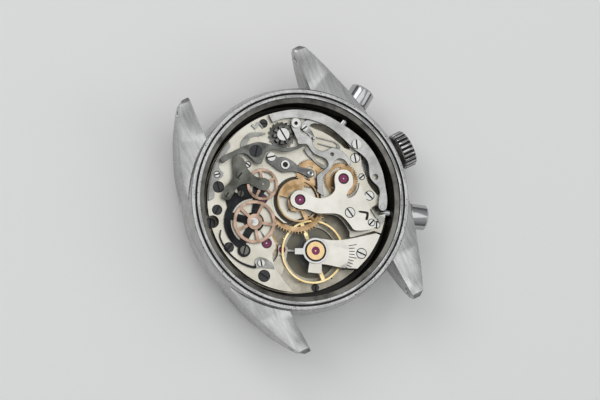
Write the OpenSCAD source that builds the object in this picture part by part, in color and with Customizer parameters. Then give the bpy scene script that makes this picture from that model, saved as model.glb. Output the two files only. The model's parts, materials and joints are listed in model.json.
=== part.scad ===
// Hand-wound chronograph movement in its steel case, case back off, lying on its crystal.
// Millimetres. Z runs from the crystal to the movement side, X to the crown and Y to 6 o'clock.
// The origin is the middle of the crystal's flat outer face.

/* [Case] */
// Radius of the case middle at its widest
case_r = 18.3; // [17.9:0.1:19]
// Radius of the flat rim that carries the case back
rim_r = 17.8; // [17.5:0.1:18]
// Height of the rim above the crystal's outer face
rim_z = 11.8; // [11.8:0.1:12.6]
// Radius of the bore that the case back fits
back_bore_r = 16.4; // [15.9:0.05:16.6]
// Depth of that bore
back_bore_depth = 0.65; // [0.4:0.05:0.65]
// Radius of the chamber round the bridges
chamber_r = 15.6; // [15.5:0.05:15.7]
// Radius of the groove for the case back's gasket
groove_r = 17.0; // [16.9:0.05:17.1]
// Width of that groove
groove_w = 0.35; // [0.2:0.05:0.4]
// Radius of the opening over the dial
rehaut_r = 13.8; // [13.2:0.1:14]
// Height of the ledge between crystal and dial
rehaut_h = 0.6; // [0.4:0.1:0.8]
// Distance between the lugs, the strap's width
lug_gap = 19; // [18:0.5:20]
// Distance of the lug tips from the middle
lug_reach = 22.3; // [21.8:0.1:24]
// Radius of a strap bar hole
bar_hole_r = 0.55; // [0.4:0.05:0.7]
// Distance of a strap bar from the middle
bar_y = 20.6; // [20:0.1:20.9]
// Height of a strap bar
bar_z = 10.4; // [10.1:0.1:10.6]

/* [Crystal and bezel] */
// Radius of the crystal's skirt
crystal_r = 15.05; // [14.9:0.05:15.2]
// Radius of the crystal's flat face
crystal_flat_r = 12.5; // [11:0.1:13]
// Height of the crystal
crystal_h = 3.3; // [3.1:0.05:3.35]
// Thickness of the crystal's face
crystal_t = 1.0; // [0.8:0.05:1.2]
// Width of the bezel round the crystal
bezel_w = 2.45; // [2:0.05:2.7]
// Height of the bezel
bezel_h = 1.5; // [1:0.1:1.8]

/* [Crown and pushers] */
// Radius of the crown
crown_r = 3.05; // [2.9:0.05:3.3]
// Length of the crown
crown_len = 3.2; // [3:0.1:3.8]
// Flutes round the crown
crown_flutes = 24; // [20:1:28]
// Height of the crown's axis
crown_z = 5.8; // [5.7:0.05:5.9]
// Depth of the hole in the crown that takes the stem
crown_bore = 2.4; // [1.8:0.1:2.6]
// Radius of the winding stem
stem_r = 0.6; // [0.5:0.05:0.65]
// Radius of a pusher's cap
cap_r = 2.05; // [1.8:0.05:2.2]
// Length of a pusher's cap
cap_len = 3.0; // [2.6:0.1:3.4]
// Angle between the crown and each pusher
pusher_angle = 32; // [31:0.5:33]
// Height of the pushers' axes
pusher_z = 7.2; // [7.1:0.05:7.25]
// Travel of a pusher
pusher_travel = 0.65; // [0.5:0.05:0.65]
// Radius of a pusher's stem
pusher_stem_r = 0.75; // [0.65:0.05:0.8]

/* [Movement] */
// Radius of the main plate, a 13-ligne movement
plate_r = 14.75; // [14.7:0.05:14.8]
// Thickness of the main plate
plate_t = 2.0; // [1.9:0.05:2]
// Height between the main plate and the bridges
train_space = 1.8; // [1.8:0.05:2]
// Thickness of the bridges
bridge_t = 0.8; // [0.7:0.05:0.9]
// Radius of the bridges' rim
bridge_r = 14.7; // [14.4:0.1:14.7]
// Thickness of a chronograph lever
lever_t = 0.3; // [0.2:0.02:0.32]
// Thickness of the chronograph bridge
chrono_bridge_t = 0.7; // [0.5:0.05:0.9]
// Height of a screw's head
head_h = 0.28; // [0.2:0.02:0.3]
// Width of a screw's slot
slot_w = 0.24; // [0.14:0.02:0.26]
// Radius of a jewel
jewel_r = 0.66; // [0.5:0.02:0.7]

/* [Dial side] */
// Thickness of the dial
dial_t = 0.4; // [0.3:0.05:0.4]
// Radius of the dial
dial_r = 14.6; // [14.3:0.05:14.7]
// Radius of a counter on the dial
counter_r = 3.6; // [3.2:0.1:3.8]
// Distance of the counters from the middle
counter_x = 8.0; // [7.95:0.01:8.05]
// Depth of the space for the motion works
works_depth = 0.9; // [0.85:0.05:1]
// Length of the minute hand
minute_hand_len = 11.8; // [10:0.1:12.4]
// Length of the hour hand
hour_hand_len = 7.6; // [6.5:0.1:8.2]
// Length of the chronograph hand
sweep_hand_len = 13.0; // [12:0.1:13.2]

/* [Going train] */
// Module of the barrel's teeth
barrel_m = 0.124; // [0.122:0.001:0.126]
// Module of the centre wheel's teeth
centre_m = 0.16; // [0.158:0.001:0.161]
// Module of the fourth wheel's teeth
fourth_m = 0.0898; // [0.088:0.0002:0.0904]
// Height of the barrel's drum
barrel_h = 1.0; // [0.8:0.05:1]
// Thickness of a train wheel
wheel_t = 0.16; // [0.12:0.01:0.18]
// Outer radius of the balance rim
balance_r = 5.15; // [4.9:0.05:5.2]
// Turns of the balance spring
hairspring_turns = 9; // [6:1:10]
// Radius of the escape wheel
escape_r = 2.45; // [2.3:0.05:2.5]

/* [Chronograph] */
// Tip radius of the driving wheel
driving_r = 3.5; // [3.4:0.02:3.56]
// Tip radius of the coupling wheel
coupling_r = 2.62; // [2.56:0.02:2.66]
// Tip radius of the chronograph runner
runner_r = 3.5; // [3.4:0.02:3.52]
// Tip radius of the sliding gear
sliding_r = 2.36; // [2.3:0.02:2.4]
// Tip radius of the minute runner
minute_runner_r = 2.85; // [2.8:0.02:2.88]
// Distance that the coupling wheel stands off the runner when stopped
clutch_lift = 0.2; // [0.15:0.01:0.22]
// Gap between the tips of the fine-toothed wheels
fine_gap = 0.05; // [0.04:0.005:0.07]
// Columns of the column wheel
columns = 9; // [7:1:9]
// Radius to the outside of the columns
column_r = 1.55; // [1.45:0.05:1.6]
// Tip radius of the column wheel's ratchet
ratchet_ring_r = 2.28; // [2.2:0.02:2.28]

/* [Hidden] */

// Clearances
fit = 0.04;      // running fit of a pivot in its hole
snug = 0.05;     // between parts that are pressed or screwed together
air = 0.1;       // between parts that pass each other

// Heights, from the crystal's face up
case_z = 3.0;
ledge_z = case_z + 0.4;
dial_z = ledge_z + rehaut_h;
plate_z = dial_z + dial_t;
plate_top = plate_z + plate_t;
bridge_z = plate_top + train_space;
bridge_top = bridge_z + bridge_t;
low_z = bridge_top + air;             // sliding gear, minute runner, clutch lever
mid_z = bridge_top + 0.5;             // driving wheel, coupling wheel, runner
cam_z = bridge_top + 0.8;             // heart cams, hammer
high_z = cam_z + lever_t + air;       // brake lever
chrono_z = bridge_top + 1.3;          // underside of the chronograph bridge
chrono_top = chrono_z + chrono_bridge_t;
barrel_z = plate_top + air;
ratchet_z = bridge_z - 0.6;
centre_z = bridge_z - 0.3;
fourth_z = plate_top + 0.8;
third_z = plate_top + 0.25;
balance_z = bridge_z - 0.75;
cock_z = bridge_top - 0.3;
cock_top = bridge_top + 0.7;
works_top = plate_z + works_depth;
seat_bore_r = plate_r + air;
chamber_z = plate_top + air;

// Numbers of teeth
barrel_teeth = 84;
centre_pinion_teeth = 12;
centre_teeth = 64;
third_pinion_teeth = 8;
third_teeth = 75;
fourth_pinion_teeth = 10;
fourth_teeth = 80;
escape_pinion_teeth = 8;
cannon_teeth = 12;
minute_teeth = 36;
minute_pinion_teeth = 10;
hour_teeth = 40;
fine_teeth = 120;
coupling_teeth = 90;

// Places of the arbors
centre = [0, 0];
fourth = [-counter_x, 0];
minute_place = [counter_x, 0];
hour_place = [0, counter_x];
barrel_place = polar(centre, (barrel_teeth + centre_pinion_teeth) / 2 * barrel_m, 46);
third = polar(centre, (centre_teeth + third_pinion_teeth) / 2 * centre_m, 151.75);
third_m = 2 * norm(third - fourth) / (third_teeth + fourth_pinion_teeth);
escape = polar(fourth, (fourth_teeth + escape_pinion_teeth) / 2 * fourth_m, -84);
pallet = escape + [2.2, -2.05];
balance = [-1.1, -8.45];
works_m = 0.09;
works_distance = (cannon_teeth + minute_teeth) / 2 * works_m;
works_place = polar(centre, works_distance, 46);
hour_m = 2 * works_distance / (minute_pinion_teeth + hour_teeth);
finger_r = 2.45;
coupling = meet(fourth, centre, driving_r + coupling_r + fine_gap,
    runner_r + coupling_r + fine_gap + clutch_lift);
sliding = meet(centre, minute_place, finger_r + sliding_r + fine_gap,
    minute_runner_r + sliding_r + fine_gap);
crown_wheel_place = [11.4, 0.9];
crown_wheel_r = 2.78;
ratchet_r = norm(crown_wheel_place - barrel_place) - crown_wheel_r - fine_gap;
column_place = [2.3, 10.6];
hammer_place = [5.05, 11.35];
operating_place = [12.7, 4.1];
reset_place = [6.2, 10.1];
brake_place = [-2.95, 10.1];
slide_place = [-0.95, 8.2];
click_angle = 100;
click_place = polar(barrel_place, ratchet_r + 1.8, click_angle);
setting_place = [11.0, -3.6];
start_stud = [12.1, -6.8];
reset_stud = polar(centre, 13.9, pusher_angle);
stud_r = 0.4;
stem_end = 14.35;                       // distance of a pusher stem's end from the middle

// Radii of arbors
pivot_r = 0.12;
arbor_r = 0.2;
runner_arbor_r = 0.13;
tube_r = 0.45;
cannon_r = 0.4;

// Bezel, crown and pushers
bezel_r = crystal_r + bezel_w;
crown_x = case_r + 0.3;
cap_x = case_r + pusher_travel + fit;

// Screws: place, head radius, seat height, slot angle, stem length
plate_seat = bridge_top - head_h;      // a head that lies flush with the bridge
bright = [
    [[6.5, -5.35], 0.75, chrono_top - 0.22, 100, 2.3],
    [[9.0, -8.3], 0.5, chrono_top - 0.22, 20, 2.3],
    [[10.15, -9.05], 0.5, plate_seat, 60, 0.4],
    [[5.6, -12.1], 0.75, cock_top - 0.22, 130, 1.8],
    [[11.8, 2.2], 0.7, plate_seat, 75, 0.4],
    [[11.4, -1.0], 0.42, plate_seat, 15, 0.4],
    [[11.2, -4.3], 0.7, plate_seat, 110, 0.4],
    [[-10.1, 9.4], 0.42, bridge_top + 0.1, 169, 0.7],
    [[-4.75, 8.75], 0.42, plate_seat, 117, 0.4],
    [[-9.9, -6.4], 0.55, bridge_top + 0.25, 75, 0.9]];
dark = [
    [[-10.7, 7.5], 0.8, plate_seat, 80, 0.4],
    [[-12.5, 4.3], 0.7, plate_seat, 35, 0.4],
    [[-13.45, -1.9], 0.7, plate_seat, 20, 0.4],
    [[0.5, 13.6], 0.6, plate_seat, 150, 0.4],
    [[-10.3, -8.45], 0.85, plate_seat, 120, 0.4]];
clamps = [[[-14.0, 2.9], 0.85], [[-3.0, -13.85], 0.6]];

// A point at a distance and an angle from another
function polar(c, r, a) = [c[0] + r * cos(a), c[1] + r * sin(a)];

// The point at distance ra from a and rb from b, to the left of the way from a to b
function meet(a, b, ra, rb) =
    let (d = norm(b - a), t = atan2(b[1] - a[1], b[0] - a[0]))
    polar(a, ra, t + acos((ra * ra + d * d - rb * rb) / (2 * ra * d)));

// Turn of wheel 2 that sets its gap on the tooth of wheel 1
function mesh_turn(o1, o2, z1, z2, t1) =
    let (a = atan2(o2[1] - o1[1], o2[0] - o1[0])) a + 180 - 180 / z2 + (a - t1) * z1 / z2;

// A closed curve through the points; a third value of 1 makes a sharp corner
function tangent(p, i) =
    let (n = len(p), a = p[(i + n - 1) % n], b = p[(i + 1) % n])
    [b[0] - a[0], b[1] - a[1]] / 2;
function is_corner(p) = len(p) > 2 && p[2] == 1;
function blend(p, i, s) =
    let (n = len(p), a = p[i], b = p[(i + 1) % n],
        m0 = is_corner(a) ? [b[0] - a[0], b[1] - a[1]] : tangent(p, i),
        m1 = is_corner(b) ? [b[0] - a[0], b[1] - a[1]] : tangent(p, (i + 1) % n),
        h = [2 * s^3 - 3 * s^2 + 1, s^3 - 2 * s^2 + s, 3 * s^2 - 2 * s^3, s^3 - s^2])
    [h[0] * a[0] + h[1] * m0[0] + h[2] * b[0] + h[3] * m1[0],
        h[0] * a[1] + h[1] * m0[1] + h[2] * b[1] + h[3] * m1[1]];
function smooth(p, steps = 3) =
    [for (i = [0:len(p) - 1])
        let (last = is_corner(p[i]) && is_corner(p[(i + 1) % len(p)]) ? 0 : steps - 1)
        for (k = [0:last]) blend(p, i, k / steps)];

// Points along an arc
function arc(c, r, a0, a1, n) = [for (i = [0:n]) polar(c, r, a0 + (a1 - a0) * i / n)];

// Outline of a spiral ribbon from radius r0 to r1
function spiral(r0, r1, turns, w, n = 24) = concat(
    [for (i = [0:turns * n]) polar([0, 0], r0 + (r1 - r0) * i / turns / n, i * 360 / n)],
    [for (i = [turns * n:-1:0]) polar([0, 0], r0 + w + (r1 - r0) * i / turns / n, i * 360 / n)]);

// A flat piece of thickness t standing on height z
module slab(z, t) {
    translate([0, 0, z]) linear_extrude(t) children();
}

module at(p) {
    translate([p[0], p[1], 0]) children();
}

// A round bar or bore between two heights
module bar(r, z0, z1) {
    translate([0, 0, z0]) cylinder(r = r, h = z1 - z0, $fn = 48);
}

// A wheel outline with slim teeth that keep clear in the mesh
module gear(teeth, m, turn = 0) {
    p = 360 / teeth;
    root = m * (teeth / 2 - 1.5);
    tip = m * (teeth / 2 + 0.8);
    polygon([for (i = [0:teeth - 1], k = [[root, -0.2], [tip, -0.08], [tip, 0.08], [root, 0.2]])
        polar([0, 0], k[0], turn + (i + k[1]) * p)]);
}

// A wheel outline with fine pointed teeth
module fine_gear(tip, teeth, depth = 0.14) {
    polygon([for (i = [0:teeth - 1], k = [0, 0.5])
        polar([0, 0], k == 0 ? tip : tip - depth, (i + k) * 360 / teeth)]);
}

// A wheel outline with square teeth cut between narrow gaps
module square_gear(tip, teeth, depth = 0.24) {
    polygon([for (i = [0:teeth - 1], k = [[depth, -0.26], [0, -0.2], [0, 0.2], [depth, 0.26]])
        polar([0, 0], tip - k[0], (i + k[1]) * 360 / teeth)]);
}

// Ratchet teeth leaning one way
module saw(tip, teeth, depth) {
    polygon([for (i = [0:teeth - 1], k = [[0, 0], [0.85, depth]])
        polar([0, 0], tip - k[1], (i + k[0]) * 360 / teeth)]);
}

// Openings between the spokes of a wheel, from inner to outer radius
module windows(r0, r1, spokes, w, turn = 0) {
    difference() {
        circle(r = r1, $fn = 64);
        circle(r = r0, $fn = 48);
        for (i = [0:spokes - 1])
            rotate(turn + i * 360 / spokes) translate([0, -w / 2]) square([r1 + 1, w]);
    }
}

// A slotted screw: head on its seat, stem below
module screw(r, z, turn, length) {
    difference() {
        union() {
            bar(r, z, z + head_h);
            if (length > 0) bar(r * 0.45, z - length, z + head_h / 4);
        }
        translate([0, 0, z + head_h * 0.35]) rotate(turn)
            translate([-r - 1, -slot_w / 2, 0]) cube([2 * r + 2, slot_w, head_h]);
    }
}

// The recess and hole that take a screw
module screw_bore(r, z, length) {
    bar(r + 0.12, z, z + 3);
    bar(r * 0.45 + snug / 2, z - length - 0.05, z + 0.1);
}

module screw_bores(list) {
    for (s = list) at(s[0]) screw_bore(s[1], s[2], s[4]);
}

// A shoulder screw that a lever turns on
module pivot_screw(p, r, post, top, turn) {
    at(p) screw(r, top, turn, 0.1);
    at(p) bar(post, bridge_top, top);
    at(p) bar(post * 0.6, bridge_z + 0.1, bridge_top);
}

// A plain stud with an eye that a lever turns on
module pivot_stud(p, r, post, top, eye) at(p) difference() {
    union() {
        bar(r, top, top + head_h);
        bar(post, bridge_top, top + 0.1);
        bar(post * 0.6, bridge_z + 0.1, bridge_top + 0.1);
    }
    bar(eye, top - 0.2, top + 1);
}

module pivot_screw_bore(p, post) {
    at(p) bar(post * 0.6 + snug / 2, bridge_z - 1, bridge_top + 1);
}

// Case

module lug() {
    rise = rim_z - 11.8;
    tip = lug_reach;
    intersection() {
        linear_extrude(rim_z + 2) polygon([[lug_gap / 2, 8], [case_r * 0.9, 7.8], [15.95, 9.8],
            [15.3, 12.2], [14.5, 14.5], [13.35, 17.6], [12.25, 20], [11.35, tip - 0.6], [10.6, tip],
            [lug_gap / 2, tip]]);
        rotate([90, 0, 90]) linear_extrude(case_r + 2) polygon([[7, case_z + 0.1], [11, case_z + 0.1],
            [14, 3.7], [16, 4.6], [18, 5.9], [19.6, 7.3], [21, 8.8], [21.9, 10.1], [tip, 11.4],
            [tip, 12.25], [tip - 0.7, 12.6], [20, 12.1], [18.5, 11.65], [16.5, 11.25 + rise],
            [14, 10.9 + rise], [11, 10.65 + rise], [7, 10.5 + rise]]);
    }
}

module case_middle() color("#9B9C9B") difference() {
    union() {
        rotate_extrude($fn = 120) polygon([[0, case_z], [bezel_r - 0.2, case_z], [bezel_r, case_z + 0.3],
            [case_r - 0.1, 5.2], [case_r, 6.3], [case_r, 8.9], [case_r - 0.15, 10],
            [rim_r, rim_z - 0.15], [rim_r - 0.15, rim_z], [0, rim_z]]);
        for (x = [0, 1], y = [0, 1]) mirror([x, 0, 0]) mirror([0, y, 0]) lug();
    }
    bar(crystal_r + snug, case_z - 1, ledge_z);
    bar(rehaut_r, ledge_z - 1, dial_z + 1);
    bar(seat_bore_r, dial_z, rim_z);
    bar(chamber_r, chamber_z, rim_z + 1);
    bar(back_bore_r, rim_z - back_bore_depth, rim_z + 2);
    translate([0, 0, rim_z - 0.45]) difference() {
        cylinder(r = groove_r + groove_w / 2, h = 1, $fn = 96);
        cylinder(r = groove_r - groove_w / 2, h = 1, $fn = 96);
    }
    translate([12, 0, crown_z]) rotate([0, 90, 0]) cylinder(r = stem_r + 0.6, h = 8, $fn = 48);
    for (a = [-pusher_angle, pusher_angle])
        rotate(a) along_x(pusher_z) {
            translate([0, 0, 13]) cylinder(r = pusher_stem_r + 0.55, h = 8, $fn = 48);
            translate([0, 0, case_r]) cylinder(r = cap_r + 0.15, h = 8, $fn = 64);
        }
    for (y = [-bar_y, bar_y])
        translate([-case_r - 1, y, bar_z]) rotate([0, 90, 0])
            cylinder(r = bar_hole_r, h = 2 * case_r + 2, $fn = 32);
}

module bezel() color("#A9AAA9") rotate_extrude($fn = 120)
    polygon([[crystal_r + snug, case_z - bezel_h], [crystal_r + 0.6, case_z - bezel_h - 0.1],
        [bezel_r - 0.6, case_z - 0.75], [bezel_r, case_z - 0.3], [bezel_r, case_z - snug],
        [crystal_r + snug, case_z - snug]]);

module crystal() color("#E4ECEF", 0.35) rotate_extrude($fn = 120)
    polygon([[0, 0], [crystal_flat_r, 0], [crystal_r - 0.6, 0.75], [crystal_r, case_z - bezel_h],
        [crystal_r, crystal_h], [crystal_r - 1.1, crystal_h], [crystal_r - 1.3, crystal_t + 0.7],
        [crystal_flat_r - 0.2, crystal_t], [0, crystal_t]]);

// Crown, its gasket, tube and stem, along X

module along_x(z) {
    translate([0, 0, z]) rotate([0, 90, 0]) children();
}

gasket_r = stem_r + 1.05;
tube_out = case_r + 1.5;

module crown() color("#B9B9B8") along_x(crown_z) difference() {
    rotate_extrude($fn = 96) polygon([[0, crown_x], [crown_r - 0.45, crown_x],
        [crown_r - 0.25, crown_x + 0.25], [crown_r - 0.2, crown_x + 0.85], [crown_r, crown_x + 1.05],
        [crown_r, crown_x + crown_len - 0.45], [crown_r - 0.25, crown_x + crown_len - 0.2],
        [crown_r - 1.3, crown_x + crown_len - 0.05], [0, crown_x + crown_len]]);
    translate([0, 0, crown_x - 1]) cylinder(r = gasket_r + fit, h = 2.6, $fn = 48);
    translate([0, 0, crown_x - 0.1]) cylinder(r = stem_r * 0.8, h = crown_bore + 0.1, $fn = 48);
    for (i = [0:crown_flutes - 1])
        rotate(i * 360 / crown_flutes) translate([crown_r + 0.07, 0, crown_x + 0.95])
            cylinder(r = 0.24, h = crown_len, $fn = 16);
}

module crown_gasket() color("#26282A") along_x(crown_z)
    translate([0, 0, crown_x + 0.35]) difference() {
        cylinder(r = gasket_r, h = 0.45, $fn = 48);
        translate([0, 0, -1]) cylinder(r = stem_r + 0.6 + fit, h = 3, $fn = 48);
    }

module crown_tube() color("#8E8F8E") along_x(crown_z) difference() {
    translate([0, 0, chamber_r + 0.1])
        cylinder(r = stem_r + 0.6 - snug / 2, h = tube_out - 0.4 - chamber_r, $fn = 48);
    translate([0, 0, 10]) cylinder(r = stem_r + fit, h = 15, $fn = 48);
}

module winding_stem() color("#8C8D8C") along_x(crown_z) union() {
    translate([0, 0, 9.4]) cylinder(r = stem_r * 0.6, h = 1.2, $fn = 32);
    translate([0, 0, 10.5]) cylinder(r = stem_r * 0.8, h = crown_x + crown_bore - 10.5, $fn = 48);
    translate([0, 0, 14.2]) cylinder(r = stem_r, h = crown_x + 1.3 - 14.2, $fn = 48);
}

// Pushers, along their own radius

module pusher() along_x(pusher_z) difference() {
    union() {
        rotate_extrude($fn = 64) polygon([[0, cap_x], [cap_r - 0.15, cap_x], [cap_r, cap_x + 0.15],
            [cap_r, cap_x + cap_len - 0.3], [cap_r - 0.25, cap_x + cap_len - 0.05],
            [cap_r - 0.6, cap_x + cap_len], [0, cap_x + cap_len]]);
        translate([0, 0, stem_end]) cylinder(r = pusher_stem_r, h = cap_x + 1 - stem_end, $fn = 48);
    }
    translate([0, 0, cap_x - 1]) difference() {
        cylinder(r = pusher_stem_r + 0.7, h = 2.4, $fn = 48);
        cylinder(r = pusher_stem_r, h = 5, $fn = 48);
    }
}

module start_pusher() color("#B9B9B8") rotate(-pusher_angle) pusher();

module reset_pusher() color("#B9B9B8") rotate(pusher_angle) pusher();

module pusher_tubes() color("#8E8F8E") for (a = [-pusher_angle, pusher_angle])
    rotate(a) along_x(pusher_z) difference() {
        translate([0, 0, chamber_r + 0.25])
            cylinder(r = pusher_stem_r + 0.55 - snug / 2, h = case_r + 0.4 - chamber_r, $fn = 48);
        translate([0, 0, 10]) cylinder(r = pusher_stem_r + fit, h = 12, $fn = 48);
        translate([0, 0, case_r - 0.6]) cylinder(r = pusher_stem_r + 0.4, h = 5, $fn = 48);
    }

module pusher_springs() color("#A5A6A5") for (a = [-pusher_angle, pusher_angle])
    rotate(a) along_x(pusher_z) difference() {
        translate([0, 0, case_r - 0.55]) cylinder(r = pusher_stem_r + 0.32, h = 0.9, $fn = 48);
        translate([0, 0, 10]) cylinder(r = pusher_stem_r + fit + 0.03, h = 12, $fn = 48);
    }

// Dial and hands

module counter_places() {
    for (p = [fourth, minute_place, hour_place]) at(p) children();
}

module dial() color("#E3DFD3") difference() {
    union() {
        bar(dial_r, dial_z, plate_z);
        for (i = [0:11]) if (i % 3 != 0 || i == 9)
            rotate(i * 30) translate([10.9, -0.25, dial_z - 0.16]) cube([2.1, 0.5, 0.3]);
    }
    bar(tube_r + 0.5, dial_z - 1, plate_z + 1);
    counter_places() bar(arbor_r + 0.15, dial_z - 1, plate_z + 1);
    counter_places() bar(counter_r, dial_z - 1, dial_z + 0.1);
}

// A tapering hand from tail to tip round an eye, pointing along +Y
module hand_plan(length, w, tail, eye) {
    polygon([[-w / 2, -tail], [w / 2, -tail], [w * 0.55, length * 0.35], [0.06, length],
        [-0.06, length], [-w * 0.55, length * 0.35]]);
    circle(r = eye, $fn = 32);
}

module hand(z, length, w, tail, eye, hole) slab(z, 0.14) difference() {
    hand_plan(length, w, tail, eye);
    circle(r = hole, $fn = 32);
}

hour_hand_z = dial_z - 0.75;
minute_hand_z = dial_z - 1.15;
sweep_hand_z = dial_z - 1.6;
small_hand_z = dial_z - 0.36;
hour_tube_r = tube_r + 0.4;

module hour_hand() color("#C9CCCE") rotate(118)
    hand(hour_hand_z, hour_hand_len, 0.9, 1.6, 1.25, hour_tube_r + 0.02);

module minute_hand() color("#C9CCCE") rotate(-120)
    hand(minute_hand_z, minute_hand_len, 0.75, 1.8, 0.95, tube_r - 0.08 + 0.02);

module chronograph_hand() color("#2E3236") rotate(180)
    hand(sweep_hand_z, sweep_hand_len, 0.3, 4.2, 0.6, runner_arbor_r + 0.02);

module small_seconds_hand() color("#2E3236") at(fourth) rotate(150)
    hand(small_hand_z, counter_r * 0.8, 0.24, 0.9, 0.35, pivot_r + 0.02);

module minute_counter_hand() color("#2E3236") at(minute_place) rotate(180)
    hand(small_hand_z, counter_r * 0.8, 0.24, 0.9, 0.35, pivot_r + 0.02);

// Hour counter wheel with its arbor and hand
module hour_recorder() color("#B98D72") at(hour_place) union() {
    slab(plate_z + 0.3, 0.18) difference() {
        fine_gear(3.0, 90);
        windows(0.8, 2.5, 4, 0.4);
    }
    bar(arbor_r, plate_z + 0.1, works_top - 0.05);
    bar(pivot_r, small_hand_z, plate_top - 0.6);
    rotate(180) slab(small_hand_z, 0.14) hand_plan(counter_r * 0.8, 0.24, 0.9, 0.35);
}

module hour_wheel() color("#C9A66B") difference() {
    union() {
        slab(plate_z + 0.15, 0.2)
            gear(hour_teeth, hour_m, mesh_turn(works_place, centre, minute_pinion_teeth, hour_teeth, 0));
        bar(hour_tube_r, hour_hand_z, plate_z + 0.25);
    }
    bar(cannon_r + fit, 0, plate_z + 2);
}

module minute_wheel() color("#C9A66B") at(works_place) difference() {
    union() {
        slab(plate_z + 0.5, 0.18) gear(minute_teeth, works_m,
            mesh_turn(centre, works_place, cannon_teeth, minute_teeth, 0));
        slab(plate_z + 0.12, 0.4) gear(minute_pinion_teeth, hour_m, 0);
    }
    bar(0.16 + fit, 0, plate_z + 2);
}

// Plates and bridges

module main_plate() color("#D9D4C4") difference() {
    union() {
        difference() {
            bar(plate_r, plate_z, plate_top);
            bar(2.3, plate_z - 1, works_top);
            at(works_place) bar(works_m * minute_teeth / 2 + 0.3, plate_z - 1, works_top);
            at(hour_place) bar(3.2, plate_z - 1, works_top);
        }
        at(works_place) bar(0.16, plate_z + 0.1, works_top + 0.1);
    }
    bar(tube_r + fit, 0, plate_top + 1);
    at(fourth) bar(arbor_r + fit, 0, plate_top + 1);
    at(minute_place) bar(arbor_r + fit, 0, plate_top + 1);
    at(balance) bar(4.2, plate_top - 0.4, plate_top + 1);
    at(hour_place) bar(arbor_r + fit, 0, works_top + 0.2);
    at(hour_place) bar(pivot_r + fit, works_top, plate_top - 0.4);
    at(barrel_place) bar(0.5 + fit, plate_top - 0.9, plate_top + 1);
    for (p = [third, escape, pallet, balance]) at(p) bar(pivot_r + fit, plate_top - 0.8, plate_top + 1);
    at(click_place) bar(pivot_r + fit, plate_top - 0.8, plate_top + 1);
    at(setting_place) bar(pivot_r + 0.1 + fit, plate_top - 0.8, plate_top + 1);
    translate([9.1, -stem_r - air, crown_z - stem_r - air]) cube([7, 2 * (stem_r + air), 3]);
    translate([12.3, -1.3, crown_z - 1.25]) cube([1.95, 2.6, 3]);
    for (s = clamps) at(s[0]) bar(s[1] * 0.45 + snug / 2, plate_top - 1, plate_top + 1);
}

// Edge between the two upper bridges
split = [[-1.2, 15.5], [-1.3, 9.4], [-2.6, 8.2], [-2.9, 6], [-2.2, 3.6], [-3.9, 1.9], [-4.4, -0.5]];
barrel_edge = [[-3.6, -2.2], [-2.2, -3.0], [5.2, -8.7], [5.3, -9.05], [9.3, -9.75], [11, -11.4],
    [16, -11.4], [16, 15.5]];
train_edge = [[-5.0, -1.6], [-5.6, -2.5], [-6.35, -3.1], [-6.3, -3.9], [-6.3, -4.7], [-6.7, -5.35],
    [-7.4, -5.8], [-7.8, -6.5], [-8.0, -7.6], [-8.0, -8.7], [-7.7, -10.4], [-7, -13.2], [-16, -13.2],
    [-16, 15.5]];
bridge_cut = 5.75;      // radius cleared round the balance
notch = [[10.6, -7.75], [10.6, -6.2], [14.9, -5.6], [14.9, -8.6]];
reset_notch = [[10.2, 6.4], [10.2, 8.0], [11.2, 10.4], [14.9, 8.6], [14.9, 4.9], [12.4, 5.9]];

// Opening of the barrel bridge below the chronograph bridge
crescent = [[0.9, -3.0], [2.9, -3.75], [4.2, -4.45], [4.95, -5.2], [5.3, -6.2], [5.45, -7.2],
    [5.55, -8.2], [5.3, -8.75], [4, -8], [2, -5]];

// Gaps in the barrel bridge along the inner edge of the operating lever
lever_gaps = [
    [[6.75, 10.7], [7.75, 9.3], [8.85, 8.2], [9.75, 6.9], [10.55, 5.3], [10.9, 4.4], [11.55, 3.75],
        [11.75, 4.1], [11.55, 5.4], [11.1, 6.6], [10.5, 7.9], [9.7, 9.1], [8.7, 10.25], [7.7, 11.2],
        [7.0, 11.45]],
    [[12.45, 2.85], [12.75, 2.1], [12.5, 1.3], [12.15, 0.6], [12.1, -0.3], [12.05, -1.3],
        [11.9, -2.4], [12.0, -3.3], [12.3, -4.3], [12.4, -4.8], [12.85, -4.75], [13.1, -3.6],
        [12.8, -2.7], [12.6, -1.8], [12.8, -1.1], [13.1, -0.3], [13.4, 0.8], [13.25, 1.8], [12.8, 2.85]]];

module bridge_plan(side) {
    difference() {
        intersection() {
            circle(r = bridge_r, $fn = 96);
            polygon(side);
        }
        at(balance) circle(r = bridge_cut, $fn = 64);
    }
}

module barrel_bridge() color("#E4DFD2") difference() {
    slab(bridge_z, bridge_t) difference() {
        bridge_plan(concat(split, barrel_edge));
        polygon(notch);
        polygon(reset_notch);
        polygon(crescent);
        polygon([[15, 1.1], [13.15, 1.0], [13.15, -1.0], [15, -1.1]]);
        for (p = lever_gaps) polygon(p);
    }
    difference() {
        bar(runner_r + 0.45, bridge_top - 0.25, bridge_top + 1);
        bar(runner_r - 0.4, bridge_top - 1, bridge_top + 1);
    }
    bar(tube_r - 0.08 + fit, 0, bridge_top + 1);
    at(minute_place) bar(arbor_r + fit, 0, bridge_top + 1);
    at(barrel_place) bar(0.5 + fit, bridge_z - 1, bridge_z + 0.5);
    at(crown_wheel_place) bar(0.5 + fit, bridge_z - 1, bridge_z + 0.5);
    at(click_place) bar(pivot_r + fit, bridge_z - 1, bridge_z + 0.5);
    screw_bores(bright);
    screw_bores(dark);
    for (p = [[column_place, 0.6], [hammer_place, 0.4], [operating_place, 0.5], [reset_place, 0.35],
        [slide_place, 0.42]])
        pivot_screw_bore(p[0], p[1]);
    for (p = spring_feet) at(p) bar(0.2 + snug / 2, bridge_z - 1, bridge_top + 1);
}

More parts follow.
